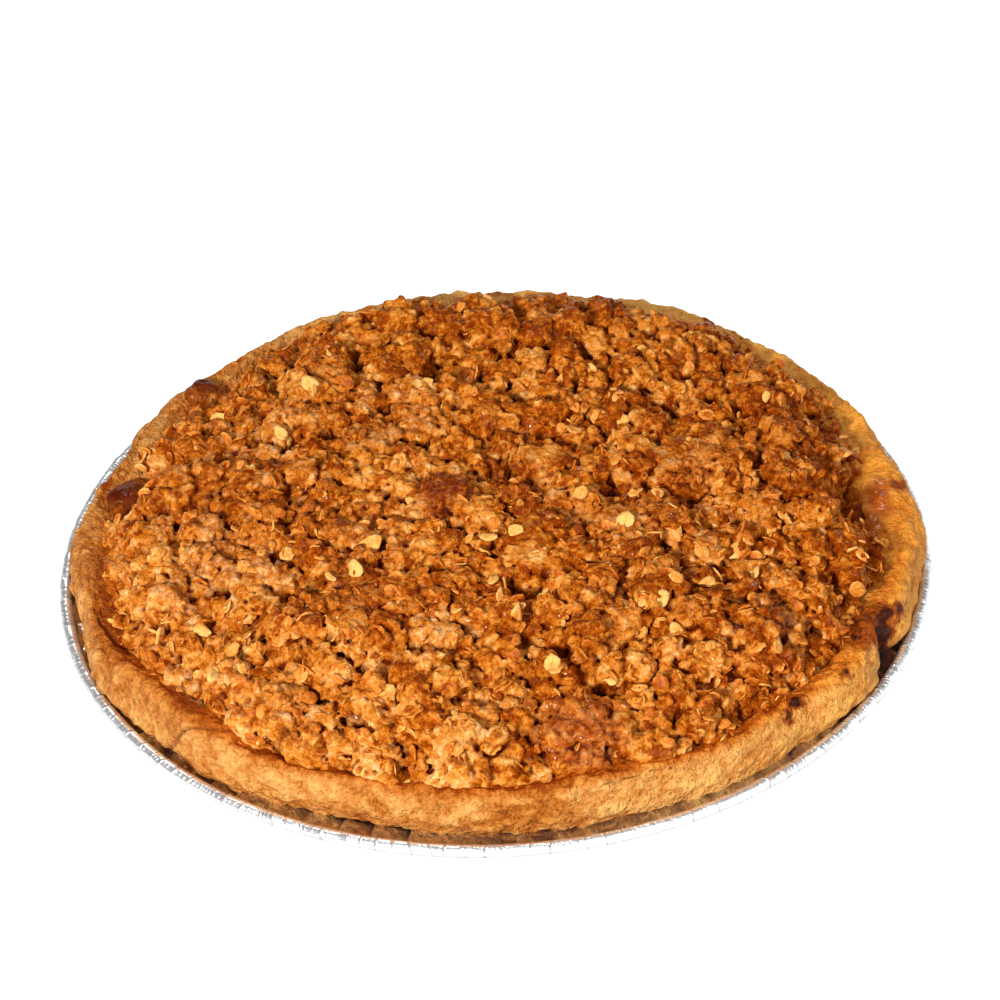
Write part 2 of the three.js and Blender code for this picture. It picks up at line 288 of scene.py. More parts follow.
def tin_points():
    """Rings of the shell from the middle of its underside, over the bead, to its inside."""
    angle = np.arange(TIN_COLUMNS) * 2 * np.pi / TIN_COLUMNS
    around = np.stack([np.cos(angle), np.sin(angle), 0 * angle], 1)
    turn = (PLEATS * angle / (2 * np.pi) + 0.35 * value_noise(around * TIN_RADIUS, 14, 3)) % 1
    fold = np.where(turn < 0.16, turn / 0.16, (1 - turn) / 0.84) * 2 - 1
    fold = fold * (0.8 + 0.5 * value_noise(around * TIN_RADIUS, 9, 4))
    middle = np.array([TIN_RADIUS - BEAD_RADIUS, TIN_DEPTH - BEAD_RADIUS])
    turns = np.arange(-110, 205, 17)
    bead = np.array(
        [middle + BEAD_RADIUS * np.array([math.cos(t), math.sin(t)]) for t in np.radians(turns)]
    )
    slope = np.linspace(0, 1, 9)[:, None]
    foot = np.array([BASE_RADIUS + 1.2, 0.5])
    head = np.array([FLANGE_INNER - 0.8, FLANGE_HEIGHT - 0.9])
    wall = foot + slope * (head - foot)
    flat = [[FLANGE_INNER + 0.6, FLANGE_HEIGHT], [115, FLANGE_HEIGHT], [117, FLANGE_HEIGHT], [118.4, FLANGE_HEIGHT]]
    base = np.array([[45, 0], [BASE_RADIUS - 2, 0], [BASE_RADIUS, 0]])
    under = np.concatenate([base, wall, flat])
    inner = under[::-1] + [[-0.25, FOIL]]
    section = np.concatenate([under, bead, inner])
    pleated = np.concatenate([wall_share(under), np.zeros(len(bead)), wall_share(inner)])
    on_flange = pleated * (section[:, 0] > FLANGE_INNER)
    rolled = np.concatenate([0 * under[:, 0], np.ones(len(bead)), 0 * under[:, 0]])
    radius = section[:, :1] + PLEAT_DEPTH * np.outer(pleated * (on_flange == 0), fold)
    height = section[:, 1:] + np.outer(on_flange, 0.8 * fold)
    dent = 0.16 * value_noise(around * TIN_RADIUS, 2.6, 7) + 0.2 * value_noise(around * TIN_RADIUS, 7, 8)
    radius += np.outer(rolled, 0.7 * dent)
    height += np.outer(rolled, dent)
    points = np.stack([radius * around[:, 0], radius * around[:, 1], height], -1)
    dents = value_noise(points.reshape(-1, 3), 5, 12).reshape(height.shape)
    points[..., 2] += 0.22 * dents * pleated[:, None]
    return points


def wall_share(section):
    """How pleated a part of the tin is: none in the base, most at the top of the wall."""
    radius = section[:, 0]
    grow = np.clip((radius - BASE_RADIUS) / (FLANGE_INNER - BASE_RADIUS), 0, 1)
    fade = np.clip((TIN_RADIUS - 3.1 - radius) / 1.2, 0, 1)
    return (0.35 * (grow > 0) + 0.65 * grow) * fade


def foil_material():
    """Bright aluminium with fine creases, its bead beaten into crimps, and its inside less bright."""
    material, tree, shader = new_material("pressed foil")
    place = node(tree, "ShaderNodeTexCoord").outputs["Object"]
    shaded = node(tree, "ShaderNodeAttribute", {"attribute_name": "shaded"}).outputs["Fac"]
    wrinkles = node(tree, "ShaderNodeTexNoise", Vector=place, Scale=420.0, Detail=4.0, Roughness=0.6)
    broad = node(tree, "ShaderNodeTexNoise", Vector=place, Scale=90.0, Detail=2.0)
    flat = node(tree, "ShaderNodeSeparateXYZ", Vector=place)
    bearing = calc(tree, "ARCTAN2", flat.outputs["Y"], flat.outputs["X"])
    turns = calc(tree, "MULTIPLY_ADD", bearing, CRIMPS / (2 * math.pi), calc(tree, "MULTIPLY", broad.outputs[0], 2.2))
    middle = calc(tree, "SUBTRACT", calc(tree, "FRACT", turns), 0.5)
    ridge = spread(tree, calc(tree, "ABSOLUTE", middle), 0.36, 0.5, 0.0, 0.13)
    whole = calc(tree, "FLOOR", turns)
    tilt = node(tree, "ShaderNodeTexWhiteNoise", {"noise_dimensions": "1D"}, W=whole)
    tilt = calc(tree, "SUBTRACT", tilt.outputs["Value"], 0.5)
    beaten = calc(tree, "MULTIPLY_ADD", calc(tree, "MULTIPLY", tilt, middle), 1.6, ridge)
    marks = calc(tree, "ABSOLUTE", calc(tree, "SUBTRACT", calc(tree, "FRACT", calc(tree, "MULTIPLY", turns, 3.0)), 0.5))
    beaten = calc(tree, "MULTIPLY_ADD", spread(tree, marks, 0.36, 0.5), 0.06, beaten)
    beaten = calc(tree, "MULTIPLY", beaten, calc(tree, "SUBTRACT", 1.0, shaded))
    fine = node(tree, "ShaderNodeBump", Strength=0.35, Distance=0.0004, Height=wrinkles.outputs[0])
    dents = node(tree, "ShaderNodeBump", Strength=0.4, Distance=0.002, Height=broad.outputs[0])
    crimps = node(tree, "ShaderNodeBump", Strength=1.0, Distance=0.0012, Height=beaten)
    feed(tree, dents.inputs["Normal"], fine.outputs[0])
    feed(tree, crimps.inputs["Normal"], dents.outputs[0])
    feed(tree, shader.inputs["Base Color"], mixed(tree, shaded, (0.92, 0.93, 0.94, 1), (0.60, 0.59, 0.58, 1)))
    feed(tree, shader.inputs["Metallic"], spread(tree, shaded, 0.0, 1.0, 0.82, 0.97))
    feed(tree, shader.inputs["Roughness"], spread(tree, shaded, 0.0, 1.0, 0.26, 0.15))
    feed(tree, shader.inputs["Normal"], crimps.outputs[0])
    return material


tin = tin_points()
tin_rings = len(tin)
tin_poles = np.array([[0, 0, 0.0], [0, 0, FOIL]])
tin_mesh = np.concatenate([tin.reshape(-1, 3), tin_poles])
beyond_bead = np.hypot(tin_mesh[:, 0], tin_mesh[:, 1]) - (TIN_RADIUS - 2 * BEAD_RADIUS)
first_ring = np.arange(TIN_COLUMNS)
make_piece(
    "foil_tin_shell",
    tin_mesh,
    [
        grid_faces(tin_rings, TIN_COLUMNS),
        fan_faces(first_ring, len(tin_mesh) - 2, True),
        fan_faces(first_ring + (tin_rings - 1) * TIN_COLUMNS, len(tin_mesh) - 1, False),
    ],
    foil_material(),
    "foil",
    "foil_tin",
    shaded=np.clip(-beyond_bead / 0.5, 0, 1),
)


# ---------------------------------------------------------------------------------------------
# Crust. Shortcrust pastry, rolled out and pressed into the tin by hand, its rim turned over on
# the flange. It is golden, browner on its outer edge, paler in patches on its inner slope, and burnt in
# spots. It has painted shade on its inner slope, in its pits, cracks and seam, and painted light on its bumps. At the
# front left the sheet laps over itself, and at the right it is cracked and torn.
# ---------------------------------------------------------------------------------------------
GAP = 0.35
CRUST_OUTER = 116.2
CRUST_INNER = 107
CRUST_TOP = 38
FILLING_EDGE = 31
FILLING_MIDDLE = 34
CRUST_COLUMNS = 960
OUTER_SWELLS = [
    (180, 13, 3.3),
    (205, 15, 3.6),
    (229, 9, 2.0),
    (255, 24, -2.2),
    (285, 20, -0.8),
    (323, 13, 4.0),
    (331.5, 4, -3.4),
    (337, 6, 1.6),
    (354, 24, 4.8),
    (18, 16, 1.6),
    (59, 9, 1.8),
    (133, 12, -3.3),
    (161, 8, -2.6),
]
INNER_SWELLS = [
    (240, 34, 1.8),
    (298, 16, 2.4),
    (331, 12, -2.6),
    (2, 24, -4.6),
    (49, 10, 2.5),
    (120, 12, 1.5),
    (150, 22, -2.4),
    (187, 14, -2.4),
]
TOP_SWELLS = [
    (180, 30, -0.8),
    (226, 14, 1.2),
    (270, 40, 0.5),
    (320, 16, -0.7),
    (345, 12, -0.6),
]
LAP_END = 233
LAP_LENGTH = 30
LAP_RISE = 1.1

# Spots of the rim: angle, distance, half length along the rim, half width across it, strength.
BURNT_SPOTS = [
    (330.5, 112.6, 8.5, 4.2, 0.72),
    (333.5, 114.6, 3.6, 2.6, 1.1),
    (328.0, 111.4, 3.6, 2.2, 0.95),
    (336.5, 117.0, 2.2, 1.3, 0.95),
    (320.3, 116.0, 2.2, 0.9, 1.0),
    (311.8, 113.2, 2.5, 1.1, 1.15),
    (309.6, 114.4, 1.6, 0.9, 1.1),
    (305.7, 109.6, 2.8, 1.0, 0.95),
    (2.5, 114, 2.2, 2.2, 0.7),
    (160, 113, 7.0, 1.4, 0.5),
    (168, 112, 3.0, 1.2, 0.6),
    (96, 115, 10.0, 1.0, 0.5),
    (80, 115, 6.0, 0.9, 0.45),
    (206, 112.5, 1.2, 1.0, 0.6),
    (140, 113.5, 4.0, 1.0, 0.45),
    (52, 114, 5.0, 1.2, 0.35),
]
# Where red syrup has soaked the rim's inner slope.
SOAKED_SPOTS = [
    (359.7, 108.0, 6.5, 3.4, 1.1),
    (2.5, 109.5, 4.0, 3.0, 0.9),
    (355, 105, 5.0, 2.4, 1.0),
    (346, 104, 6.0, 1.6, 0.7),
    (216, 106, 4.0, 1.6, 0.8),
    (209, 106, 3.0, 1.4, 0.7),
    (326, 107.0, 5.0, 2.0, 0.6),
]
PALE_SPOTS = [
    (315, 108.4, 13.0, 1.2, 1.0),
    (221, 107.5, 9.0, 1.6, 0.9),
    (345, 103.5, 6.0, 2.0, 0.9),
    (20, 104, 18.0, 3.4, 1.1),
    (33, 108, 8.0, 2.0, 0.6),
    (340, 107, 5.0, 1.4, 0.7),
    (158, 106, 9.0, 2.5, 0.6),
    (118, 112, 16.0, 2.5, 0.45),
    (328.5, 117.2, 4.0, 1.2, 0.7),
]
# Cracks and creases: first and last angle, place across the rim at each end, depth, half width.
CRACKS = [
    (281, 287.5, 0.40, 0.43, 1.0, 0.018),
    (288, 293, 0.44, 0.38, 0.8, 0.016),
    (276, 279, 0.52, 0.50, 0.5, 0.012),
    (196, 212, 0.60, 0.80, 1.3, 0.035),
    (189, 198, 0.50, 0.57, 0.8, 0.022),
    (205, 209, 0.36, 0.50, 0.6, 0.016),
    (304, 329, 0.78, 0.77, 1.1, 0.026),
    (322.5, 326, 0.28, 0.50, 0.9, 0.016),
    (334, 345, 0.30, 0.36, 0.5, 0.020),
    (150, 163, 0.60, 0.66, 0.5, 0.016),
    (112, 124, 0.55, 0.62, 0.4, 0.014),
]


def swell_at(swells, angle):
    """The sum of the swells at each angle, every one a smooth hump."""
    total = np.zeros_like(angle)
    for middle, reach, rise in swells:
        away = np.abs((angle - middle + 540) % 360 - 180)
        total += np.where(away < reach, rise * (0.5 + 0.5 * np.cos(np.pi * away / reach)), 0)
    return total


def ripple(angle, turn):
    a = np.radians(angle)
    return (
        0.45 * np.sin(11 * a + turn)
        + 0.35 * np.sin(19 * a + 2.3 * turn)
        + 0.2 * np.sin(31 * a + 4.1 * turn)
    )


def crust_outer(angle):
    return CRUST_OUTER + swell_at(OUTER_SWELLS, angle) + 0.4 * ripple(angle, 1)


def crust_inner(angle):
    return CRUST_INNER + swell_at(INNER_SWELLS, angle) + 0.5 * ripple(angle, 2)


def crust_top(angle):
    before = LAP_END - angle
    lap = np.where((before > 0) & (before < LAP_LENGTH), 1 - before / LAP_LENGTH, 0)
    return CRUST_TOP + swell_at(TOP_SWELLS, angle) + 0.5 * ripple(angle, 3) + LAP_RISE * lap


def crust_sections(angle):
    """The corners of the crust's section at each angle, from its base to the filling."""
    outer, inner, top = crust_outer(angle), crust_inner(angle), crust_top(angle)
    width = outer - inner
    lift = np.maximum(0, 0.6 * (outer - 117))
    flat = np.zeros_like(angle)
    top = top - 1.3 * np.exp(-(((angle - 262) / 13) ** 2))
    corners = [
        (BASE_RADIUS - 1.4 + flat, FOIL + 0.6 + flat),
        (FLANGE_INNER - 2.2 + flat, FLANGE_HEIGHT - 0.3 + flat),
        (outer - 3.3, FLANGE_HEIGHT - 0.3 + 0.9 * lift),
        (outer - 1.2, FLANGE_HEIGHT + 1.0 + 0.9 * lift),
        (outer, FLANGE_HEIGHT + 5.2 + 0.6 * lift),
        (outer - 0.13 * width, top - 2.9),
        (outer - 0.30 * width, top - 0.5),
        (outer - 0.48 * width, top - 0.3),
        (inner + 0.16 * width, top - 1.5),
        (inner - 0.4, 34.2 + flat),
        (inner - 3, FILLING_EDGE + flat),
    ]
    return np.stack([np.stack(corner, -1) for corner in corners], 1)


def patch(angle, across, spots, edge=0.9):
    """How strongly each point lies in one of the soft-edged spots, given its angle and distance."""
    total = np.zeros_like(across)
    for middle, distance, along, wide, strength in spots:
        u = np.radians((angle - middle + 540) % 360 - 180) * distance / along
        v = (across - distance) / wide
        total = np.maximum(total, strength * np.clip((1.5 - np.hypot(u, v)) / edge, 0, 1))
    return total


CRUST_STEPS = (2, 3, 6, 8, 9, 8, 8, 8, 7, 6)
angle = np.arange(CRUST_COLUMNS) * 360 / CRUST_COLUMNS
section = smooth_section(crust_sections(angle), CRUST_STEPS)
crust_rings = section.shape[1]
angles = np.repeat(angle[:, None], crust_rings, 1)
turn = np.radians(angles)
crust = np.stack([section[..., 0] * np.cos(turn), section[..., 0] * np.sin(turn), section[..., 1]], -1)
along_ring = np.roll(crust, -1, 0) - np.roll(crust, 1, 0)
along_section = np.gradient(crust, axis=1)
outward = np.cross(along_ring, along_section)
outward /= np.linalg.norm(outward, axis=-1, keepdims=True) + 1e-9

# Position across the rim, from 0 under its outside to 1 on its inner slope.
first_seen = CRUST_STEPS[0] + CRUST_STEPS[1]
across = np.clip((np.arange(crust_rings) - first_seen) / (crust_rings - 1 - first_seen), 0, 1)
across = np.repeat(across[None, :], CRUST_COLUMNS, 0)
flat_points = crust.reshape(-1, 3)


def crust_noise(size, seed, stretch=1.0):
    """Noise on the rim, with lumps drawn out along it."""
    reach = 113 / stretch
    places = np.stack([reach * np.cos(turn), reach * np.sin(turn), section_length], -1)
    return value_noise(places.reshape(-1, 3), size, seed).reshape(angles.shape)


section_length = np.cumsum(np.linalg.norm(np.diff(section, axis=1, prepend=section[:, :1]), axis=2), 1)
blisters = np.abs(crust_noise(3.6, 21, 1.4)) + 0.7 * np.abs(crust_noise(2.1, 22, 1.2))
leaves = crust_noise(9, 27, 1.7) + 0.5 * crust_noise(4.0, 28, 1.5)
leaves = 0.22 * (np.round(2.2 * leaves) + 1.6 * (2.2 * leaves - np.round(2.2 * leaves)) ** 3)
folds = 0.60 * crust_noise(13, 23, 1.4) + 0.40 * crust_noise(6.5, 24, 1.4)
crumbly = 0.30 * crust_noise(1.5, 25)
small_relief = 1.3 * (blisters - 0.55) + leaves + crumbly
seen = np.clip(across * 12, 0, 1)
calm = 0.55 + 0.45 * np.clip(1.6 * np.abs(crust_noise(22, 29)), 0, 1)
raised = (small_relief * calm + folds) * seen
scallops = 0.9 * (np.abs(crust_noise(4.2, 26)) - 0.35) * np.exp(-(((across - 0.05) / 0.05) ** 2))
raised += scallops

# The lapped layer: a seam runs from the outside of the rim to its inner edge, the layer above it
# stands proud, and painted shade darkens the seam.
seam = np.clip((angles - 219.5) / (237 - 219.5), 0, 1) * 0.86 + 0.08
in_lap = (angles > 200) & (angles < 237.5)
over = np.clip((across - seam) * 14, -1, 1) * 0.5 + 0.5
fade = np.clip((angles - 200) / 18, 0, 1)
raised += np.where(in_lap, over * fade * 1.15, 0) * seen
beside = np.where((angles > 219) & (angles < 238), across - seam, 1)
seam_line = np.clip(1 - np.abs(beside) / 0.024, 0, 1)
raised += 0.6 * np.exp(-(((beside - 0.04) / 0.03) ** 2)) - 0.5 * seam_line
dark_line = 0.75 * seam_line

for start, end, low, high, deep, wide in CRACKS:
    share = (angles - start) / (end - start)
    wander = 0.03 * crust_noise(3.0, int(start))
    away = np.abs(across - (low + share * (high - low)) - wander)
    ends = np.clip(np.minimum(share, 1 - share) * 6, 0, 1)
    line = np.clip(1 - away / wide, 0, 1) * ends
    raised -= 1.0 * deep * line
    raised += 0.35 * deep * np.clip(1 - away / (4 * wide), 0, 1) * ends
    # Painted shade along the bottom of each crack.
    dark_line = np.maximum(dark_line, 0.9 * min(deep, 1) * np.clip(1 - away / (0.6 * wide), 0, 1) * ends)

# The torn tab at the right, whose lower edge is broken off.
torn = np.clip(1.3 - np.abs(angles - 328.5) / 4.5, 0, 1) * np.clip((0.40 - across) * 6, 0, 1)
raised -= torn * (1.1 + 1.3 * crust_noise(2.6, 31) + 0.6 * crust_noise(1.3, 32))

crust = crust + outward * raised[..., None]
distance = np.hypot(crust[..., 0], crust[..., 1])
wobble = crust_noise(3.0, 41) + 0.6 * crust_noise(1.3, 42)
burnt = patch(angles + 0.8 * wobble, distance + 0.9 * wobble, BURNT_SPOTS)
soaked = patch(angles + 1.2 * wobble, distance + 0.9 * wobble, SOAKED_SPOTS)
pale = patch(angles + 2 * wobble, distance + 0.7 * wobble, PALE_SPOTS)
pale = np.maximum(pale, 0.7 * torn)
around = np.radians(angles)
# Baked browning from noise, and more on the outer edge at the back; set lighter towards the right, the back and the
# front. Painted shade on the inner slope is added to it below.
browned = (
    0.50
    + 0.13 * crust_noise(17, 43)
    + 0.09 * crust_noise(7, 44)
    + 0.34 * np.clip(1 - across * 3.2, 0, 1) * np.clip(np.sin(around - 0.3), 0, 1)
    - 0.24 * np.clip(np.sin(around), 0, 1)
    - 0.10 * np.clip(-np.sin(around), 0, 1)
    - 0.38 * np.clip(np.cos(around), 0, 1)
    + 0.01 * np.clip(-np.cos(around), 0, 1)
)
# Painted shade on the inner slope, falling towards the crumble, everywhere but at the back.
painted_inner_shade = np.clip(4 * (across - 0.40), 0, 1.1) * np.clip(0.25 - np.sin(around), 0, 1)
# A richer orange at the right, and on the inner slope together with its painted shade.
deep = np.clip(0.9 * np.clip(np.cos(around - 0.1), 0, 1) ** 1.5 + painted_inner_shade, 0, 1)
browned += 0.46 * painted_inner_shade - 0.2 * np.clip(np.cos(around), 0, 1)
# Painted light and shade on the relief: raised bumps lighter, low places darker.
peaks = np.clip(0.5 + 0.75 * small_relief, 0, 1)


def pastry_material():
    """Golden baked pastry: mottled, pitted, burnt in spots and soaked with syrup in a few, with painted shade in its
    pits, cracks and seam and on its inner slope, and painted light on its bumps.
    """
    material, tree, shader = new_material("baked pastry")
    place = node(tree, "ShaderNodeTexCoord").outputs["Object"]
    mask = {
        name: node(tree, "ShaderNodeAttribute", {"attribute_name": name}).outputs["Fac"]
        for name in ("browned", "burnt", "soaked", "pale", "dark_line", "peaks", "deep")
    }
    blotch = node(tree, "ShaderNodeTexNoise", Vector=place, Scale=190.0, Detail=3.0, Roughness=0.6)
    mottle = node(tree, "ShaderNodeTexNoise", Vector=place, Scale=520.0, Detail=3.0, Roughness=0.65)
    grain = node(tree, "ShaderNodeTexNoise", Vector=place, Scale=1100.0, Detail=2.0, Roughness=0.6)
    pits = node(tree, "ShaderNodeTexVoronoi", Vector=place, Scale=460.0, Randomness=1.0)
    # The browning mask also carries painted shade on the inner slope.
    level = calc(tree, "MULTIPLY_ADD", blotch.outputs[0], 0.4, mask["browned"])
    level = calc(tree, "MULTIPLY_ADD", mottle.outputs[0], 0.9, level)
    level = calc(tree, "MULTIPLY_ADD", grain.outputs[0], 0.7, level)
    # Painted light on raised bumps and painted shade in low places.
    level = calc(tree, "MULTIPLY_ADD", mask["peaks"], -0.45, level)
    level = calc(tree, "SUBTRACT", level, 0.64)
    ramp = node(tree, "ShaderNodeValToRGB", Fac=level)
    stops = [
        (0.0, (0.93, 0.52, 0.155, 1)),
        (0.25, (0.80, 0.38, 0.100, 1)),
        (0.55, (0.63, 0.235, 0.046, 1)),
        (0.8, (0.46, 0.135, 0.014, 1)),
        (1.0, (0.30, 0.068, 0.006, 1)),
    ]
    set_ramp(ramp, stops)
    rich = mixed(tree, 1.0, ramp.outputs[0], (1.0, 0.70, 0.27, 1), "MULTIPLY")
    # The deep mask carries painted shade on the inner slope as a richer, darker orange.
    colour = mixed(tree, mask["deep"], ramp.outputs[0], rich)
    colour = mixed(tree, calc(tree, "MULTIPLY", mask["pale"], 0.7), colour, (0.80, 0.46, 0.14, 1))
    # Painted shade in the pits, which the bump also dents.
    pit_with_painted_shade = spread(tree, pits.outputs["Distance"], 0.22, 0.06)
    colour = mixed(tree, calc(tree, "MULTIPLY", pit_with_painted_shade, 0.15), colour, (0.30, 0.070, 0.004, 1))
    # Painted shade in the seam and the cracks.
    colour = mixed(tree, mask["dark_line"], colour, (0.09, 0.016, 0.002, 1))
    colour = mixed(tree, calc(tree, "MULTIPLY", mask["soaked"], 0.85), colour, (0.48, 0.090, 0.004, 1))
    ragged = calc(tree, "MULTIPLY_ADD", mottle.outputs[0], 1.2, -0.6)
    ragged = calc(tree, "MULTIPLY_ADD", blotch.outputs[0], 0.8, ragged)
    ragged = calc(tree, "SUBTRACT", calc(tree, "ADD", mask["burnt"], ragged), 0.4)
    near = spread(tree, mask["burnt"], 0.0, 0.15)
    edge = calc(tree, "MULTIPLY", spread(tree, ragged, -0.10, 0.50), near)
    heart = calc(tree, "MULTIPLY", spread(tree, ragged, 0.55, 1.10), near)
    colour = mixed(tree, edge, colour, (0.38, 0.075, 0.005, 1))
    colour = mixed(tree, heart, colour, (0.050, 0.0070, 0.0015, 1))
    height = calc(tree, "MULTIPLY_ADD", mottle.outputs[0], 1.3, calc(tree, "MULTIPLY", grain.outputs[0], 0.5))
    height = calc(tree, "MULTIPLY_ADD", pit_with_painted_shade, -0.3, height)
    bump = node(tree, "ShaderNodeBump", Strength=1.0, Distance=0.0014, Height=height)
    feed(tree, shader.inputs["Base Color"], colour)
    feed(tree, shader.inputs["Roughness"], spread(tree, blotch.outputs[0], 0.3, 0.7, 0.38, 0.55))
    feed(tree, shader.inputs["Specular IOR Level"], 0.08)
    wet = calc(tree, "MAXIMUM", calc(tree, "MULTIPLY", mask["soaked"], 0.9), calc(tree, "MULTIPLY", heart, 0.2))
    feed(tree, shader.inputs["Coat Weight"], wet)
    feed(tree, shader.inputs["Coat Roughness"], 0.12)
    feed(tree, shader.inputs["Coat IOR"], 1.25)
    feed(tree, shader.inputs["Normal"], bump.outputs[0])
    return material


def set_ramp(ramp, stops):
    """The colour stops of a ramp node."""
    elements = ramp.color_ramp.elements
    while len(elements) < len(stops):
        elements.new(0.5)
    for element, (position, colour) in zip(elements, stops):
        element.position = position
        element.color = colour


crust_rows = crust.transpose(1, 0, 2).reshape(-1, 3)
crust_poles = np.array([[0, 0, FOIL + 0.6], [0, 0, FILLING_MIDDLE]])
ring = np.arange(CRUST_COLUMNS)


def by_rows(values):
    """A mask in the order of the crust's points, with its two poles."""
    return np.concatenate([values.T.ravel(), [0, 0]])


make_piece(
    "pastry_crust",
    np.concatenate([crust_rows, crust_poles]),
    [
        grid_faces(crust_rings, CRUST_COLUMNS),
        fan_faces(ring, len(crust_rows), True),
        fan_faces(ring + (crust_rings - 1) * CRUST_COLUMNS, len(crust_rows) + 1, False),
    ],
    pastry_material(),
    "crust",
    "pie_crust",
    browned=by_rows(browned),
    burnt=by_rows(burnt),
    pale=by_rows(pale),
    dark_line=by_rows(dark_line),
    peaks=by_rows(peaks),
    deep=by_rows(deep),
    soaked=by_rows(soaked),
)


# ---------------------------------------------------------------------------------------------
# Crumble. Rolled oats, flour, butter and brown sugar rubbed into clumps and strewn over the
# apples. It bakes to a rough heap: clumps of fused crumbs with flakes stuck in them, painted shade in the gaps
# between, toasted tops with painted shade and sheen, painted light towards the front left, and a few lumps glazed by
# melted sugar.
# ---------------------------------------------------------------------------------------------
HEAP_EDGE = 36
HEAP_MIDDLE = 47
CLUMP_SEED = 7
CLUMP_TRIES = 2600
CLUMP_SMALL = 5.2
CLUMP_LARGE = 10
KNOB_SEED = 11
KNOB_TRIES = 2400
KNOB_RADIUS = 3.6
KNOB_RISE = 1.5
VOXEL = 0.69
HEAP_FLOOR = 30.5
LARGE_CLUMPS = [
    (-14, -9, 9.5, 6.5),
    (20, -97, 12, 6),
    (68, -65, 10.5, 6.5),
    (-33, 17, 10, 5.5),
    (-22, 84, 11, 6.5),
    (19, 73, 10.5, 6),
    (34, 93, 8, 7),
    (16, 5, 9, 7),
    (39, 26, 8.5, 5.5),
    (91, 26, 8.5, 6.5),
    (92, 2, 6, 5),
    (89, -36, 9, 6),
    (26, -68, 8.5, 5.5),
    (-92, -40, 9, 6.5),
    (-64, 74, 10, 6),
    (-48, 53, 11, 6),
    (53, -62, 9, 5),
    (-20, -80, 12, 5.5),
    (-39, -41, 11, 5.5),
    (-63, -38, 11, 5),
    (-83, 5, 10, 5.5),
    (56, 4, 11, 6),
    (50, 82, 9.5, 7),
    (67, 74, 8, 6),
]
# Hollows for the syrup: angle, distance, half length along the rim, half width, level and crown.
POOLS = [
    (141.5, 103.5, 9.0, 9.0, 36.5, 3.6),
    (170, 102.2, 9.5, 9.5, 36.0, 2),
    (357, 102, 8, 3.6, 34.6, 1),
]
# Where the crumble is loose or fused: x, y, reach and looseness.
RUBBLE_ZONES = np.array(
    [
        (45, -42, 40, 1.0),
        (20, -90, 28, 0.55),
        (-40, -60, 40, 0.75),
        (85, 15, 25, 0.7),
        (85, -30, 25, 0.6),
        (45, 30, 30, 0.35),
        (-55, 10, 40, 0.4),
        (-60, 60, 35, 0.3),
        (10, 70, 40, 0.05),
        (60, 75, 30, 0.1),
        (0, 5, 25, 0.25),
    ]
)
# Clumps that the sugar has glazed dark, by their number in the list above.
GLAZED_CLUMPS = (0, 1, 2, 6)


def seeded(seed):
    """Repeatable random numbers from 0 to 1, the same as those that placed the solid's clumps."""
    full = 0xFFFFFFFF
    state = seed

    def draw():
        nonlocal state
        state = state + 0x6D2B79F5 & full
        value = (state ^ state >> 15) * (1 | state) & full
        value = (value + ((value ^ value >> 7) * (61 | value) & full) & full) ^ value
        return (value ^ value >> 14) / 4294967296

    return draw


def crust_inner_at(degrees):
    return float(crust_inner(np.array([degrees]))[0])


def all_clumps():
    """The large clumps, then smaller ones dropped wherever there is room."""
    draw = seeded(CLUMP_SEED)
    clumps = [list(row) for row in LARGE_CLUMPS]
    for _ in range(CLUMP_TRIES):
        far = CRUST_INNER * math.sqrt(draw())
        at = 360 * draw()
        radius = CLUMP_SMALL + (CLUMP_LARGE - CLUMP_SMALL) * draw() ** 2
        rise = radius * (0.42 + 0.22 * draw())
        x = far * math.cos(math.radians(at))
        y = far * math.sin(math.radians(at))
        inside = far + 0.6 * radius < crust_inner_at(at)
        if inside and all(math.hypot(x - c[0], y - c[1]) > 0.72 * (radius + c[2]) for c in clumps):
            clumps.append([x, y, radius, rise])
    return clumps


def all_knobs():
    """Knobs scattered over the clumps, as near to each other as they fit."""
    draw = seeded(KNOB_SEED)
    knobs = []
    for _ in range(KNOB_TRIES):
        at = math.radians(360 * draw())
        far = CRUST_INNER * math.sqrt(draw())
        x, y = far * math.cos(at), far * math.sin(at)
        radius = KNOB_RADIUS * (0.75 + 0.5 * draw())
        if all(math.hypot(x - k[0], y - k[1]) > 0.75 * (radius + k[2]) for k in knobs):
            knobs.append([x, y, radius, KNOB_RISE * radius / KNOB_RADIUS])
    return knobs


def mound(x, y):
    """The height of the bare heap under its clumps."""
    share = np.hypot(x, y) / crust_inner(np.degrees(np.arctan2(y, x)) % 360)
    inside = np.clip(share, 0, 1)
    beyond = 40 * np.maximum(0, share - 1)
    return HEAP_EDGE + (HEAP_MIDDLE - HEAP_EDGE) * (1 - inside**5) ** 0.9 - beyond


LOW = np.array([-112.0, -112.0, HEAP_FLOOR - 1.5])
COUNT = np.array([int(224 / VOXEL), int(224 / VOXEL), int(28 / VOXEL)])
axis = [LOW[i] + VOXEL * np.arange(COUNT[i]) for i in range(3)]
ground = mound(axis[0][:, None], axis[1][None, :])
FAR = 3.0
depth = np.clip((axis[2][None, None, :] - ground[:, :, None] + 3.2) * 0.85, -FAR, FAR).astype(np.float32)
tone = np.full(depth.shape, 0.35, np.float32)
glaze = np.zeros(depth.shape, np.float16)


def window(middle, reach):
    """The part of the volume within reach of a place: its slices, and its coordinates from there."""
    low = np.maximum(0, np.floor((middle - reach - LOW) / VOXEL).astype(int))
    high = np.minimum(COUNT, np.ceil((middle + reach - LOW) / VOXEL).astype(int) + 1)
    cut = tuple(slice(a, b) for a, b in zip(low, high))
    x, y, z = (axis[i][cut[i]] - middle[i] for i in range(3))
    return cut, x[:, None, None], y[None, :, None], z[None, None, :]


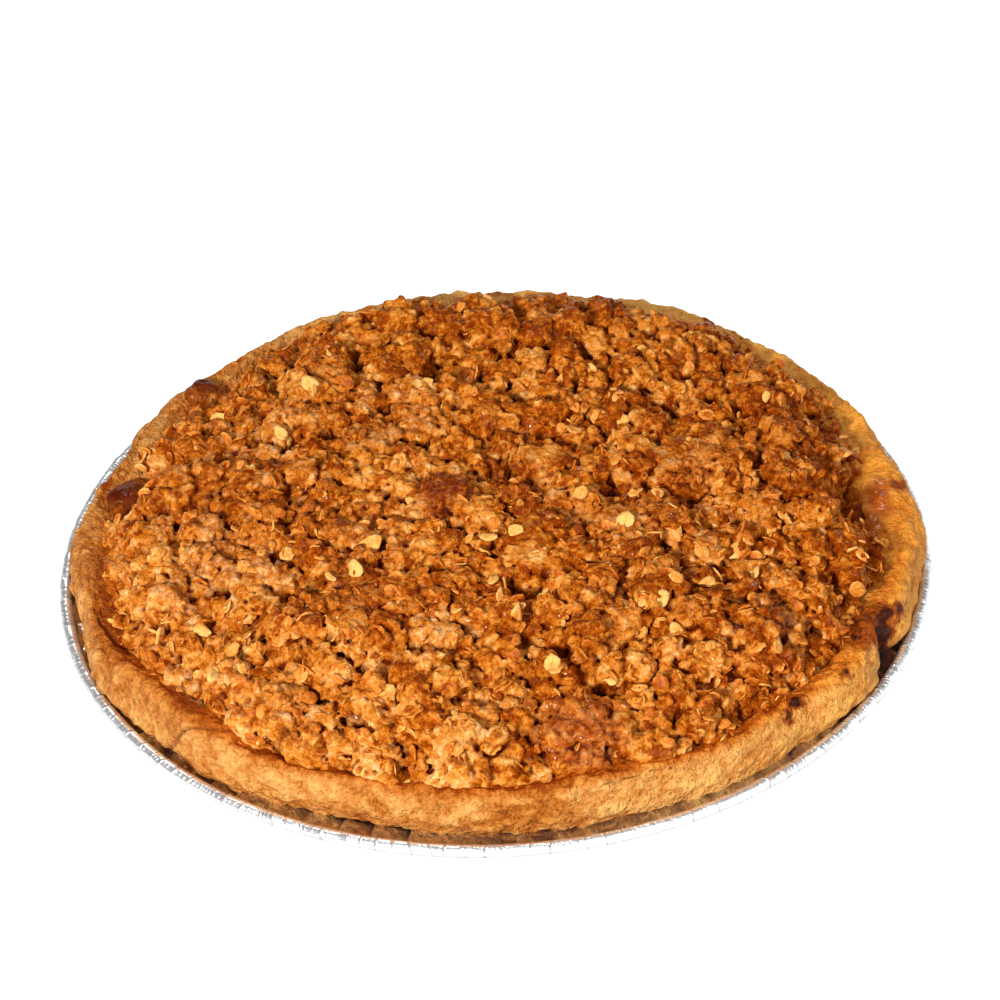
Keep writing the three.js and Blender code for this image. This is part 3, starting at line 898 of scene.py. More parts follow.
def merge(cut, added, soft, colour=None):
    """Joins a shape to the heap with a soft fillet, and colours what it covers."""
    held = depth[cut]
    if colour is not None:
        tone[cut] = np.where(added < held, colour, tone[cut])
    overlap = np.clip(0.5 + 0.5 * (held - added) / soft, 0, 1)
    depth[cut] = held + overlap * (added - held) - soft * overlap * (1 - overlap)


def add_ellipsoid(middle, radii, soft, colour=None, turn=None):
    cut, x, y, z = window(middle, max(radii) + 1.0)
    if turn is not None:
        x, y, z = (turn[0, i] * x + turn[1, i] * y + turn[2, i] * z for i in range(3))
    a, b, c = radii
    near = np.sqrt((x / a) ** 2 + (y / b) ** 2 + (z / c) ** 2) + 1e-6
    slope = np.sqrt((x / a**2) ** 2 + (y / b**2) ** 2 + (z / c**2) ** 2) + 1e-6
    merge(cut, near * (near - 1) / slope, soft, colour)


def turned(rng, facing, tip):
    """A random turn whose third axis points along a direction, tipped by up to an angle."""
    lean = facing + math.tan(tip) * rng.normal(size=3) * 0.7
    third = lean / np.linalg.norm(lean)
    side = np.cross(third, rng.normal(size=3))
    side /= np.linalg.norm(side)
    return np.stack([side, np.cross(third, side), third], 1)


def coarse_noise(size, rng):
    """Smooth noise over the whole volume, from a small grid of random numbers."""
    grid = rng.uniform(-1, 1, [int(n * VOXEL / size) + 3 for n in COUNT]).astype(np.float32)
    for i in range(3):
        place = np.arange(COUNT[i]) * VOXEL / size
        low = np.floor(place).astype(int)
        part = (place - low).astype(np.float32)
        part = part * part * (3 - 2 * part)
        shape = [1, 1, 1]
        shape[i] = len(part)
        part = part.reshape(shape)
        grid = np.take(grid, low, i) * (1 - part) + np.take(grid, low + 1, i) * part
    return grid


def surface_places(cell, rng, low_height=33.0):
    """One random place on the heap's surface in each small cube, and the way it faces."""
    inner = depth[1:-1, 1:-1, 1:-1]
    found = np.argwhere(np.abs(inner) < 0.52 * VOXEL) + 1
    found = found[rng.permutation(len(found))]
    places = LOW + VOXEL * found
    keep = places[:, 2] > low_height
    found, places = found[keep], places[keep]
    cubes = np.floor(places / cell).astype(np.int64) + 500
    key = cubes[:, 0] * 1000000 + cubes[:, 1] * 1000 + cubes[:, 2]
    first = np.unique(key, return_index=True)[1]
    found, places = found[first], places[first]
    facing = np.stack(
        [
            depth[tuple((found + step).T)] - depth[tuple((found - step).T)]
            for step in np.eye(3, dtype=int)
        ],
        1,
    )
    facing /= np.linalg.norm(facing, axis=1, keepdims=True) + 1e-6
    return places, facing


def zone_share(zones, x, y):
    """A value blended between zones by how near each is."""
    near = np.exp(-((x - zones[:, 0]) ** 2 + (y - zones[:, 1]) ** 2) / zones[:, 2] ** 2)
    return float((near * zones[:, 3]).sum() / (near.sum() + 1e-9))


def on_large_clump(x, y):
    """1 on the large clumps, and 0 beyond them."""
    nearest = 9.0 + 0 * x
    for clump_x, clump_y, radius, _ in LARGE_CLUMPS:
        nearest = np.minimum(nearest, np.hypot(x - clump_x, y - clump_y) / radius)
    return np.clip(2.4 - 2 * nearest, 0, 1)


def rubble_at(x, y):
    """How loose the crumble is at a place: 0 where it has fused into smooth lumps, 1 where it is crumbs."""
    return zone_share(RUBBLE_ZONES, x, y) * (1 - 0.85 * float(on_large_clump(x, y)))


rng = np.random.default_rng(5)
clumps = all_clumps()
for number, (x, y, radius, rise) in enumerate(clumps):
    tall = max(rise, 0.72 * radius)
    level = float(mound(np.array([x]), np.array([y]))[0])
    body = np.array([0.9 * radius, 0.9 * radius, 0.93 * tall])
    middle = np.array([x, y, level + rise - tall])
    if number < len(LARGE_CLUMPS):
        middle[2] += 1.0
    colour = np.clip(rng.normal(0.42, 0.25), 0, 1)
    add_ellipsoid(middle, body, 0.8, colour)
    for _ in range(int(0.2 * radius**2)):
        way = rng.normal(size=3)
        way[2] = abs(way[2]) + 0.1
        way /= np.linalg.norm(way)
        lobe = radius * rng.uniform(0.2, 0.42)
        spot = middle + way * (body - 0.62 * lobe)
        tint = np.clip(colour + rng.normal(0, 0.13), 0, 1)
        add_ellipsoid(spot, lobe * rng.uniform(0.8, 1.2, 3), 0.9, tint, turned(rng, way, 0.6))
    if number in GLAZED_CLUMPS:
        cut, u, v, w = window(np.array([x, y, level]), radius + 2)
        far = np.sqrt(u * u + v * v + w * w)
        glaze[cut] = np.maximum(glaze[cut], np.clip((radius + 2 - far) / 3, 0, 1))
depth += 1.6 * coarse_noise(19, rng) + 1.2 * coarse_noise(8.5, rng) + 0.3 * coarse_noise(4.1, rng)

# The heap falls to an uneven foot: low behind the rim at the back, and up on the rim in front.
bearing = np.degrees(np.arctan2(axis[1][None, :], axis[0][:, None])) % 360
behind = crust_inner(bearing) - np.hypot(axis[0][:, None], axis[1][None, :])
forward = np.clip(0.3 - 1.2 * np.sin(np.radians(bearing)), 0, 1)
foot = 29.8 + 1.15 * np.clip(behind, -4, 14) + forward * (4.0 + 1.4 * np.clip(behind, -4, 6))
foot += 0.60 * np.clip(behind - 13, 0, 60)
uneven = 2.6 * coarse_noise(7, rng)[:, :, :1] + 1.0 * coarse_noise(3.4, rng)[:, :, :1]
uneven = uneven * (1 - 0.7 * np.clip((behind - 7) / 5, 0, 1))[:, :, None]
slope = (axis[2][None, None, :] - foot[:, :, None] - uneven) * 0.6
slope -= 2.0 * np.clip(behind - 22, 0, 20)[:, :, None]
depth = np.maximum(depth, slope.astype(np.float32))

depth_top = LOW[2] + VOXEL * (COUNT[2] - 1 - np.argmax(depth[:, :, ::-1] < 0, 2))
for x, y, radius, rise in all_knobs():
    i, j = ((np.array([x, y]) - LOW[:2]) / VOXEL).astype(int)
    level = depth_top[i, j]
    loose = rubble_at(x, y)
    room = crust_inner_at(math.degrees(math.atan2(y, x)) % 360) - math.hypot(x, y)
    if depth[i, j].min() < 0 and room > (7 if y > 0.5 * abs(x) else -0.5):
        middle = np.array([x, y, level + (0.3 * loose - 0.1) * rise - 0.8 * radius])
        tint = np.clip(rng.normal(0.45, 0.2), 0, 1)
        radii = radius * rng.uniform(0.7, 1.1, 3)
        add_ellipsoid(middle, radii, 1.1 - 0.6 * loose, tint, turned(rng, np.array([0, 0, 1.0]), 0.8))

# Crumbs: round ones the size of a pea or smaller, then grit. They stand clear where the heap is
# loose, and are fused to a bumpy skin where it isn't.
CRUMB_SIZES = ((6.2, 2.5, 4.2, 0.7, 0.25), (3.0, 1.3, 2.2, 0.9, 0.15), (1.7, 0.8, 1.2, 0.6, 0.1))
for cell, small, large, share, soft in CRUMB_SIZES:
    for place, facing in zip(*surface_places(cell, rng)):
        loose = rubble_at(*place[:2])
        if rng.random() > share * (0.8 + 0.4 * loose):
            continue
        size = small + (large - small) * rng.random() ** 1.6
        radii = size * rng.uniform(0.82, 1.22, 3)
        under = tone[tuple(np.round((place - LOW) / VOXEL).astype(int))]
        tint = np.clip(under + rng.normal(0, 0.2), 0, 1)
        proud = (rng.uniform(-0.5, 0.0) + 0.5 * loose) * size
        fillet = soft + 0.10 * (1 - loose) * size
        add_ellipsoid(place + proud * facing, radii, fillet, tint, turned(rng, facing, 1.0))

# The syrup has boiled up in hollows of the crumble.
for bearing_at, far, along, wide, level, crown in POOLS:
    c, s = math.cos(math.radians(bearing_at)), math.sin(math.radians(bearing_at))
    middle = np.array([far * c, far * s, level])
    cut, x, y, z = window(middle, along + 9)
    u, v = x * c + y * s, y * c - x * s
    clear = 1 - np.sqrt((u / (wide + 4.5)) ** 2 + (v / (along + 4.5)) ** 2 + (np.minimum(z, 0) / 4) ** 2)
    depth[cut] = np.maximum(depth[cut], 3.0 * clear)

edge_distance = np.hypot(axis[0][:, None], axis[1][None, :]) - (
    crust_inner(np.degrees(np.arctan2(axis[1][None, :], axis[0][:, None])) % 360) + 3.5
)
depth = np.maximum(depth, edge_distance[:, :, None].astype(np.float32))
depth = np.maximum(depth, (HEAP_FLOOR - axis[2])[None, None, :].astype(np.float32))
depth[:, :, 0] = FAR
volume = openvdb.FloatGrid(FAR)
volume.copyFromArray(np.clip(depth, -FAR, FAR))
heap, quads = volume.convertToQuads(0.0)
heap = LOW + VOXEL * heap.astype(float)
quads = quads.astype(np.int64)[:, ::-1]


def blurred(values, reach):
    """The mean over a small cube round each voxel."""
    steps = int(round(reach / VOXEL))
    for i in range(3):
        total = np.cumsum(values, i, dtype=np.float32)
        ahead = np.take(total, np.minimum(np.arange(COUNT[i]) + steps, COUNT[i] - 1), i)
        behind = np.take(total, np.maximum(np.arange(COUNT[i]) - steps - 1, 0), i)
        values = (ahead - behind) / (2 * steps + 1)
    return values


def sampled(values, points):
    """The volume's value at each point, blended from the eight voxels round it."""
    place = np.clip((points - LOW) / VOXEL, 0, COUNT - 1.001)
    low = place.astype(int)
    part = place - low
    total = np.zeros(len(points))
    for corner in range(8):
        step = np.array([corner & 1, corner >> 1 & 1, corner >> 2])
        share = np.where(step, part, 1 - part).prod(1)
        total += share * values[tuple((low + step).T)]
    return total


def grains(points, size, seed):
    """Rounded grains packed at about a size: the dome of the nearest at each point, and its tone."""
    scaled = points / size
    cell = np.floor(scaled - 0.5).astype(np.int64)
    nearest = np.full(len(points), 9.0)
    shade = np.zeros(len(points))
    for corner in range(8):
        x, y, z = (cell + np.array([corner & 1, corner >> 1 & 1, corner >> 2])).T
        mix = (x * 73856093 ^ y * 19349663 ^ z * 83492791 ^ seed * 2654435761) & 0xFFFFFFFF
        mix = (mix ^ (mix >> 15)) * 2246822519 & 0xFFFFFFFF
        mix = (mix ^ (mix >> 13)) * 3266489917 & 0xFFFFFFFF
        jitter = np.stack([mix >> 8 & 255, mix >> 16 & 255, mix >> 24 & 255], 1) / 255 * 0.8 + 0.1
        away = np.linalg.norm(scaled - np.stack([x, y, z], 1) - jitter, axis=1)
        closer = away < nearest
        nearest = np.where(closer, away, nearest)
        shade = np.where(closer, (mix & 255) / 127.5 - 1, shade)
    return 1 - np.clip(nearest / 0.75, 0, 1) ** 2, shade


# Painted shade for the gaps: how much of the heap is solid round each point, over a wide and a near reach.
filled = (depth < 0).astype(np.float32)
painted_shade_wide = sampled(blurred(filled, 4.0), heap)
painted_shade_near = sampled(blurred(filled, 1.5), heap)
tone_and_painted_light = sampled(tone, heap)
glazed = sampled(glaze, heap)
patches = value_noise(heap, 30, 51) * 0.7 + value_noise(heap, 12, 52) * 0.5
bent = heap + 0.9 * np.stack([value_noise(heap, 3.1, seed) for seed in (53, 54, 55)], 1)
large_dome, large_shade = grains(bent, 2.7, 58)
small_dome, small_shade = grains(bent, 1.7, 59)
fused = on_large_clump(heap[:, 0], heap[:, 1])
relief = (0.48 * large_dome + 0.36 * small_dome) * (1 - 0.15 * fused) + 0.08 * value_noise(heap, 1.4, 57)
relief -= relief.mean()
patches += 0.25 * fused
# Painted light: the tone is lighter towards the front and the left, where the key lamp stands.
tone_and_painted_light = np.clip(tone_and_painted_light + 0.16 * large_shade + 0.16 * small_shade - 0.0012 * heap[:, 1] - 0.0018 * heap[:, 0], 0, 1)
creases = np.clip(1 - 0.6 * large_dome - 0.5 * small_dome, 0, 1)


def point_normals(points, quads):
    a, b, c, d = (points[quads[:, i]] for i in range(4))
    face = np.cross(c - a, d - b)
    total = np.zeros_like(points)
    for i in range(4):
        for k in range(3):
            total[:, k] += np.bincount(quads[:, i], face[:, k], len(points))
    return total / (np.linalg.norm(total, axis=1, keepdims=True) + 1e-12)


normals = point_normals(heap, quads)
heap += normals * relief[:, None]
heap += 0.14 * np.stack([value_noise(heap, 1.6, seed) for seed in (61, 62, 63)], 1)
# Painted shade in the creases between grains joins the near shade.
painted_shade_near = np.clip(painted_shade_near + 0.16 * (creases - 0.45), 0, 1)


def crumble_material():
    """Baked crumble: brown sugar and oats, grainy, with painted shade in its gaps, toasted on top with painted shade
    and dull sheen there, glazed in spots.
    """
    material, tree, shader = new_material("baked crumble")
    place = node(tree, "ShaderNodeTexCoord").outputs["Object"]
    facing = node(tree, "ShaderNodeSeparateXYZ", Vector=node(tree, "ShaderNodeNewGeometry").outputs["Normal"])
    mask = {
        name: node(tree, "ShaderNodeAttribute", {"attribute_name": name}).outputs["Fac"]
        for name in ("tone", "wide", "near", "glazed", "patches")
    }
    fine = node(tree, "ShaderNodeTexNoise", Vector=place, Scale=1500.0, Detail=2.0, Roughness=0.7)
    lump = node(tree, "ShaderNodeTexNoise", Vector=place, Scale=420.0, Detail=3.0, Roughness=0.6)
    shove = node(tree, "ShaderNodeVectorMath", {"operation": "SCALE"}, Vector=lump.outputs["Color"], Scale=0.0008)
    bent = node(tree, "ShaderNodeVectorMath", {"operation": "ADD"})
    feed(tree, bent.inputs[0], place)
    feed(tree, bent.inputs[1], shove.outputs[0])
    grains = node(tree, "ShaderNodeTexVoronoi", Vector=bent.outputs[0], Scale=620.0, Randomness=1.0)
    bits = node(tree, "ShaderNodeTexVoronoi", Vector=bent.outputs[0], Scale=1200.0, Randomness=1.0)
    grain_tone = node(tree, "ShaderNodeSeparateColor", Color=grains.outputs["Color"])
    bit_tone = node(tree, "ShaderNodeSeparateColor", Color=bits.outputs["Color"])
    broad = node(tree, "ShaderNodeTexNoise", Vector=place, Scale=140.0, Detail=2.0)
    level = calc(tree, "MULTIPLY_ADD", lump.outputs[0], 0.8, -0.4)
    level = calc(tree, "MULTIPLY_ADD", broad.outputs[0], 0.6, level)
    # The tone mask also carries painted light, lighter towards the front left.
    level = calc(tree, "MULTIPLY_ADD", mask["tone"], 0.62, level)
    level = calc(tree, "MULTIPLY_ADD", grain_tone.outputs[0], 0.38, level)
    level = calc(tree, "MULTIPLY_ADD", bit_tone.outputs[0], 0.30, level)
    level = calc(tree, "MULTIPLY_ADD", fine.outputs[0], 0.7, level)
    level = calc(tree, "SUBTRACT", level, 0.88)
    ramp = node(tree, "ShaderNodeValToRGB", Fac=level)
    stops = [
        (0.0, (0.25, 0.036, 0.0006, 1)),
        (0.25, (0.45, 0.105, 0.004, 1)),
        (0.5, (0.65, 0.210, 0.020, 1)),
        (0.8, (0.81, 0.345, 0.072, 1)),
        (1.0, (0.91, 0.53, 0.20, 1)),
    ]
    set_ramp(ramp, stops)
    colour = ramp.outputs[0]
    # Up-facing parts: toasted, and partly painted shade and dull sheen, so darker and greyer.
    top = spread(tree, facing.outputs["Z"], 0.35, 0.95)
    toast_and_top_shade = calc(tree, "MULTIPLY_ADD", mask["patches"], 1.8, 0.45)
    toast_and_top_shade = calc(tree, "MULTIPLY", toast_and_top_shade, top, clamp=True)
    toasted_shaded_top = mixed(tree, 1.0, colour, (0.74, 0.66, 0.80, 1), "MULTIPLY")
    colour = mixed(tree, calc(tree, "MULTIPLY", toast_and_top_shade, 0.95), colour, toasted_shaded_top)
    # Painted shade in the gaps, from the wide and near masks, towards a near-black brown.
    painted_gap_shade = calc(tree, "ADD", spread(tree, mask["wide"], 0.51, 0.76), spread(tree, mask["near"], 0.56, 0.88))
    painted_gap_shade = calc(tree, "MULTIPLY", painted_gap_shade, 0.7, clamp=True)
    colour = mixed(tree, painted_gap_shade, colour, (0.12, 0.012, 0.0010, 1))
    # The glazed clumps' own darker, browner colour.
    browned = mixed(tree, 1.0, colour, (0.70, 0.50, 0.34, 1), "MULTIPLY")
    colour = mixed(tree, calc(tree, "MULTIPLY", mask["glazed"], 0.85), colour, browned)
    height = spread(tree, grains.outputs["Distance"], 0.0, 0.7, 1.0, 0.0)
    height = calc(tree, "MULTIPLY_ADD", spread(tree, bits.outputs["Distance"], 0.0, 0.7, 1.0, 0.0), 0.5, height)
    height = calc(tree, "MULTIPLY_ADD", fine.outputs[0], 0.4, height)
    height = calc(tree, "MULTIPLY_ADD", lump.outputs[0], 1.0, height)
    bump = node(tree, "ShaderNodeBump", Strength=1.0, Distance=0.0003, Height=height)
    wet = node(tree, "ShaderNodeTexNoise", Vector=place, Scale=300.0, Detail=2.0)
    sugar = spread(tree, wet.outputs[0], 0.50, 0.60)
    sugar = calc(tree, "MAXIMUM", calc(tree, "MULTIPLY", sugar, 0.6), calc(tree, "MULTIPLY", mask["glazed"], 0.75))
    feed(tree, shader.inputs["Base Color"], colour)
    feed(tree, shader.inputs["Roughness"], 0.5)
    feed(tree, shader.inputs["Specular IOR Level"], 0.03)
    feed(tree, shader.inputs["Coat Weight"], calc(tree, "MULTIPLY", sugar, 0.7))
    feed(tree, shader.inputs["Coat Roughness"], 0.09)
    feed(tree, shader.inputs["Coat IOR"], 1.35)
    feed(tree, shader.inputs["Normal"], bump.outputs[0])
    return material


crumble = crumble_material()
flat_floor = (heap[quads][:, :, 2] < HEAP_FLOOR + 0.4).all(1)
quads = quads[~flat_floor]
SECTORS = ("right", "back", "left", "front")
middle = heap[quads].mean(1)
bearing = (np.degrees(np.arctan2(middle[:, 1], middle[:, 0])) + 45) % 360
sector_span = 360 / len(SECTORS)
for number, name in enumerate(SECTORS):
    own = quads[(bearing >= sector_span * number) & (bearing < sector_span * (number + 1))]
    sides = np.concatenate([own[:, [i, (i + 1) % 4]] for i in range(4)])
    key = sides[:, 0] * len(heap) + sides[:, 1]
    open_sides = sides[~np.isin(key, sides[:, 1] * len(heap) + sides[:, 0])]
    used, index = np.unique(own, return_inverse=True)
    lookup = np.zeros(len(heap), int)
    lookup[used] = np.arange(len(used))
    keel = np.array([[0, 0, HEAP_FLOOR]])
    rim = lookup[open_sides]
    cap = np.stack([rim[:, 1], rim[:, 0], np.full(len(rim), len(used))], 1)
    masks = {"tone": tone_and_painted_light, "wide": painted_shade_wide, "near": painted_shade_near, "glazed": glazed, "patches": patches}
    make_piece(
        "crumble_" + name,
        np.concatenate([heap[used], keel]),
        [index.reshape(-1, 4), cap],
        crumble,
        "crumble",
        "crumble_topping",
        **{key: np.append(values[used], 0.5) for key, values in masks.items()},
    )
    print("crumble", name, len(own), "quads")


# ---------------------------------------------------------------------------------------------
# Oats. Rolled oat flakes that lie loose on the crumble or stick out of it: thin, uneven ovals with
# a crease along the middle. A few are still pale, and most are toasted.
# ---------------------------------------------------------------------------------------------
OAT_SIDES = 12
# Each place is where the eye meets a level plane, and the flake lies where that sight line meets the heap.
OAT_SIGHT = 49.3
SIGHT_SLOPE = 1.27
LARGE_OATS = [
    (48.1, -28.1, 3.2),
    (64.4, -36, 2.9),
    (55.7, -49.3, 2.8),
    (38.1, -54.8, 2.4),
    (43.1, -54.8, 2.6),
    (47.2, -46, 2.3),
    (56.4, -60.2, 2.3),
    (46, -68.7, 2.5),
    (13.3, -78.3, 2.4),
    (35.6, -20.5, 2.6),
    (27.8, -85.5, 2.3),
    (5.9, -22.6, 2.3),
    (24.3, -7.5, 2.1),
    (-29.7, -88.2, 3.0),
    (-25.3, -50.8, 3.1),
    (-37, -35.8, 2.4),
    (-51.4, -78.2, 2.6),
    (-32.7, -25.1, 2.9),
    (-55.5, -28.2, 2.4),
    (-72.9, -76.1, 2.5),
    (-69.4, -67, 2.3),
    (-77.6, -58.5, 2.6),
    (68, -46.1, 2.4),
    (78.8, -21.4, 2.2),
    (-50.5, 50.6, 2.6),
    (-77.4, 36.2, 2.9),
    (-58.4, 27.2, 2.4),
    (30.9, 51, 2.7),
    (37.5, 36.2, 2.3),
    (37.9, 25, 2.2),
    (31.3, 27.8, 2.3),
]
# Where loose flakes lie: x, y, reach and how thickly.
OAT_ZONES = np.array(
    [
        (48, -42, 32, 1.0),
        (-45, -55, 45, 0.7),
        (0, -40, 30, 0.6),
        (20, -90, 20, 0.4),
        (-65, 30, 35, 0.5),
        (35, 30, 15, 0.6),
        (85, 0, 30, 0.5),
        (10, 70, 45, 0.12),
        (-10, 15, 30, 0.25),
    ]
)


def oat_flake(rng, long, whole=False):
    """The points of one flake round its own middle, lying flat: three rings and two centres."""
    turn = np.arange(OAT_SIDES) * 2 * np.pi / OAT_SIDES
    phase = rng.uniform(0, 2 * np.pi, 5)
    uneven = 1 + 0.10 * np.cos(2 * turn + phase[0]) + 0.08 * np.cos(3 * turn + phase[1])
    uneven += 0.05 * np.cos(5 * turn + phase[2]) + 0.05 * rng.normal(size=OAT_SIDES)
    for broken in phase[3:]:
        least = 1.0 if whole else 0.4
        uneven = np.minimum(uneven, rng.uniform(least, 2.2) / np.maximum(0.2, np.cos(turn - broken)))
    wide = long * rng.uniform(0.55, 0.9)
    rim = np.stack([long * uneven * np.cos(turn), wide * uneven * np.sin(turn), 0 * turn], 1)
    thick = rng.uniform(0.14, 0.24)
    lip = np.array([0, 0, 0.75 * thick])
    rings = [0.5 * rim + (0, 0, thick), 0.97 * rim + lip, 0.97 * rim - lip]
    points = np.concatenate([[[0, 0, thick]], *rings, [[0, 0, -thick]]])
    x, y = points[:, 0] / long, points[:, 1] / wide
    bend = rng.normal(0, 0.35) * x**2 + rng.normal(0, 0.30) * y**2 + rng.normal(0, 0.35) * x * y
    bend += rng.normal(0, 0.22) * np.cos(3 * x + phase[0]) * np.cos(3 * y + phase[1])
    crease = -0.22 * np.exp(-((y / 0.13) ** 2)) * (rng.random() < 0.6)
    points[:, 2] += (0.25 if whole else 0.3) * long * bend + crease
    return points, x, y


def flake_faces():
    """Triangles of one flake: its two faces and the rim between them."""
    ring = np.arange(OAT_SIDES)
    after = (ring + 1) % OAT_SIDES
    end = np.full(OAT_SIDES, 1 + 3 * OAT_SIDES)
    faces = [np.stack([0 * ring, 1 + ring, 1 + after], 1)]
    for k in range(2):
        near, far = 1 + k * OAT_SIDES, 1 + (k + 1) * OAT_SIDES
        faces.append(np.stack([near + ring, far + ring, near + after], 1))
        faces.append(np.stack([far + ring, far + after, near + after], 1))
    faces.append(np.stack([1 + 2 * OAT_SIDES + ring, end, 1 + 2 * OAT_SIDES + after], 1))
    return np.concatenate(faces)


def oat_material():
    """Rolled oat: waxy pale yellow, toasted towards brown, darker along its middle crease and lighter towards its rim.
    """
    material, tree, shader = new_material("rolled oat")
    place = node(tree, "ShaderNodeTexCoord").outputs["Object"]
    baked = node(tree, "ShaderNodeAttribute", {"attribute_name": "baked"}).outputs["Fac"]
    grain = node(tree, "ShaderNodeTexNoise", Vector=place, Scale=1300.0, Detail=3.0, Roughness=0.7)
    blotch = node(tree, "ShaderNodeTexNoise", Vector=place, Scale=420.0, Detail=3.0)
    level = calc(tree, "MULTIPLY_ADD", grain.outputs[0], 0.9, -0.45)
    level = calc(tree, "MULTIPLY_ADD", blotch.outputs[0], 1.3, level)
    level = calc(tree, "SUBTRACT", level, 0.60)
    along = node(tree, "ShaderNodeAttribute", {"attribute_name": "along"}).outputs["Fac"]
    aside = node(tree, "ShaderNodeAttribute", {"attribute_name": "aside"}).outputs["Fac"]
    crease = spread(tree, calc(tree, "ABSOLUTE", aside), 0.16, 0.02)
    crease = calc(tree, "MULTIPLY", crease, spread(tree, calc(tree, "ABSOLUTE", along), 0.9, 0.5))
    edge = calc(tree, "ADD", calc(tree, "MULTIPLY", along, along), calc(tree, "MULTIPLY", aside, aside))
    level = calc(tree, "MULTIPLY_ADD", crease, 0.2, level)
    level = calc(tree, "MULTIPLY_ADD", spread(tree, edge, 0.3, 1.0), -0.15, level)
    ramp = node(tree, "ShaderNodeValToRGB", Fac=calc(tree, "ADD", baked, level))
    set_ramp(
        ramp,
        [
            (0.0, (0.96, 0.55, 0.150, 1)),
            (0.25, (0.88, 0.38, 0.075, 1)),
            (0.55, (0.70, 0.230, 0.026, 1)),
            (0.8, (0.56, 0.140, 0.009, 1)),
            (1.0, (0.34, 0.066, 0.003, 1)),
        ],
    )
    height = calc(tree, "MULTIPLY_ADD", blotch.outputs[0], 1.5, grain.outputs[0])
    bump = node(tree, "ShaderNodeBump", Strength=0.8, Distance=0.00025, Height=height)
    feed(tree, shader.inputs["Base Color"], ramp.outputs[0])
    feed(tree, shader.inputs["Roughness"], 0.42)
    feed(tree, shader.inputs["Specular IOR Level"], 0.15)
    feed(tree, shader.inputs["Normal"], bump.outputs[0])
    return material


surface = np.argmax(depth[:, :, ::-1] < 0, 2)
surface = LOW[2] + VOXEL * (COUNT[2] - 1 - surface)
flakes = []
for x, y, long in LARGE_OATS:
    for level in np.arange(OAT_SIGHT + 8, OAT_SIGHT - 12, -0.4):
        ahead = y - SIGHT_SLOPE * (level - OAT_SIGHT)
        i, j = ((np.array([x, ahead]) - LOW[:2]) / VOXEL).astype(int)
        if surface[i, j] >= level:
            break
    y = ahead
    slope = np.array([surface[i - 6, j] - surface[i + 6, j], surface[i, j - 6] - surface[i, j + 6]]) / 6
    facing = np.array([0.4 * slope[0], 0.4 * slope[1] - 0.6, 1.0])
    turn = turned(rng, facing / np.linalg.norm(facing), 0.2)
    points, along, aside = oat_flake(rng, 1.05 * long, True)
    flakes.append((points @ turn.T + (x, y - 0.6, level + 0.9), rng.uniform(-0.1, 0.35), along, aside))
for place, facing in zip(*surface_places(4.5, rng, 34.5)):
    bare = float(on_large_clump(*place[:2]))
    if rng.random() > 0.82 * zone_share(OAT_ZONES, *place[:2]) * (1 - 0.7 * bare):
        continue
    turn = turned(rng, facing, rng.uniform(0.15, 0.8))
    long = rng.uniform(1.3, 2.7)
    sunk = rng.uniform(-0.35, 0.05) * long
    points, along, aside = oat_flake(rng, long)
    flakes.append((points @ turn.T + place + sunk * facing, 0.85 - 0.75 * rng.random() ** 2.2, along, aside))
count = 3 * OAT_SIDES + 2
one = flake_faces()
make_piece(
    "oat_flakes",
    np.concatenate([flake[0] for flake in flakes]),
    [np.concatenate([one + count * k for k in range(len(flakes))])],
    oat_material(),
    "crumble",
    "crumble_topping",
    baked=np.concatenate([np.full(count, flake[1]) for flake in flakes]),
    along=np.concatenate([flake[2] for flake in flakes]),
    aside=np.concatenate([flake[3] for flake in flakes]),
)
print("oat flakes", len(flakes))


# ---------------------------------------------------------------------------------------------
# Syrup. Apple juice and sugar that boiled up at the rim and set to dark, glassy drops. The two at
# the left stand on the pastry, and all of them have a froth of tiny bubbles in patches.
# ---------------------------------------------------------------------------------------------
SYRUP_DEPTH = 2
SYRUP = {
    "syrup_pool_back_left": (141.5, 107, 5.6, 5.2, 37.6, 3.6),
    "syrup_pool_left": (170, 104.2, 7.4, 7, 37.2, 2),
    "syrup_pool_right": (357, 102, 8, 3.6, 34.6, 1),
}
SYRUP_RINGS = 28
SYRUP_SIDES = 56


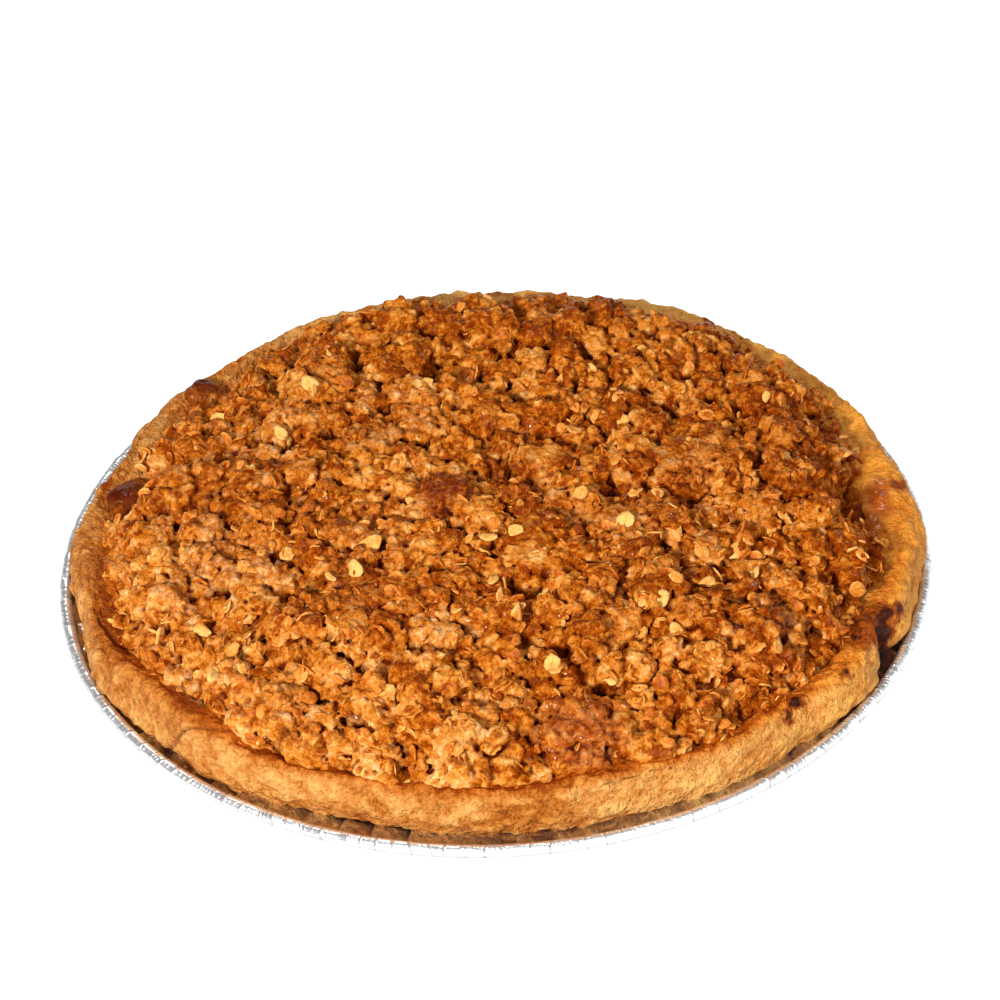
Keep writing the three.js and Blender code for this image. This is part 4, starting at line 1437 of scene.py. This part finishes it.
def syrup_material():
    """Set syrup: glassy, amber where thin and near black where thick."""
    material, tree, shader = new_material("set syrup")
    place = node(tree, "ShaderNodeTexCoord").outputs["Object"]
    thin = node(tree, "ShaderNodeAttribute", {"attribute_name": "thin"}).outputs["Fac"]
    cloud = node(tree, "ShaderNodeTexNoise", Vector=place, Scale=260.0, Detail=2.0)
    level = calc(tree, "MULTIPLY_ADD", cloud.outputs[0], 1.5, -0.72)
    ramp = node(tree, "ShaderNodeValToRGB", Fac=calc(tree, "ADD", thin, level))
    set_ramp(
        ramp,
        [
            (0.0, (0.065, 0.0065, 0.0006, 1)),
            (0.45, (0.15, 0.022, 0.001, 1)),
            (0.8, (0.34, 0.080, 0.007, 1)),
            (1.0, (0.58, 0.22, 0.04, 1)),
        ],
    )
    ripples = node(tree, "ShaderNodeTexNoise", Vector=place, Scale=420.0, Detail=2.0)
    bubbles = node(tree, "ShaderNodeTexVoronoi", Vector=place, Scale=640.0, Randomness=1.0)
    bubble = spread(tree, bubbles.outputs["Distance"], 0.42, 0.15)
    bubble = calc(tree, "MULTIPLY", bubble, spread(tree, cloud.outputs[0], 0.47, 0.60))
    height = calc(tree, "MULTIPLY_ADD", bubble, 0.9, calc(tree, "MULTIPLY", ripples.outputs[0], 0.6))
    bump = node(tree, "ShaderNodeBump", Strength=1.0, Distance=0.0010, Height=height)
    feed(tree, shader.inputs["Base Color"], ramp.outputs[0])
    feed(tree, shader.inputs["Roughness"], 0.09)
    feed(tree, shader.inputs["Specular IOR Level"], 0.09)
    feed(tree, shader.inputs["Normal"], bump.outputs[0])
    return material


syrup = syrup_material()
for number, (name, (bearing, far, along, wide, level, crown)) in enumerate(SYRUP.items()):
    down = np.linspace(0, np.pi, SYRUP_RINGS)[1:-1, None]
    turn = (np.arange(SYRUP_SIDES) * 2 * np.pi / SYRUP_SIDES)[None, :]
    ball = np.stack(
        [np.sin(down) * np.cos(turn), np.sin(down) * np.sin(turn), np.cos(down) + 0 * turn], -1
    ).reshape(-1, 3)[:: 1]
    ball = np.concatenate([ball, [[0, 0, 1.0], [0, 0, -1.0]]])
    dented = 1 + 0.24 * value_noise(ball * 10, 9, 71 + number) + 0.12 * value_noise(ball * 10, 4, 81 + number)
    drop = ball * dented[:, None] * (wide, along, SYRUP_DEPTH + crown)
    c, s = math.cos(math.radians(bearing)), math.sin(math.radians(bearing))
    drop = drop @ np.array([[c, s, 0], [-s, c, 0], [0, 0, 1]]) + (far * c, far * s, level - SYRUP_DEPTH)
    rings = SYRUP_RINGS - 2
    edge = np.arange(SYRUP_SIDES)
    make_piece(
        name + "_drop",
        drop,
        [
            grid_faces(rings, SYRUP_SIDES)[:, ::-1],
            fan_faces(edge, rings * SYRUP_SIDES, True)[:, ::-1],
            fan_faces(edge + (rings - 1) * SYRUP_SIDES, rings * SYRUP_SIDES + 1, False)[:, ::-1],
        ],
        syrup,
        "syrup",
        name,
        thin=np.clip(0.35 + 0.5 * (np.hypot(ball[:, 0] - 0.3, ball[:, 1]) - 0.5), 0, 1),
    )
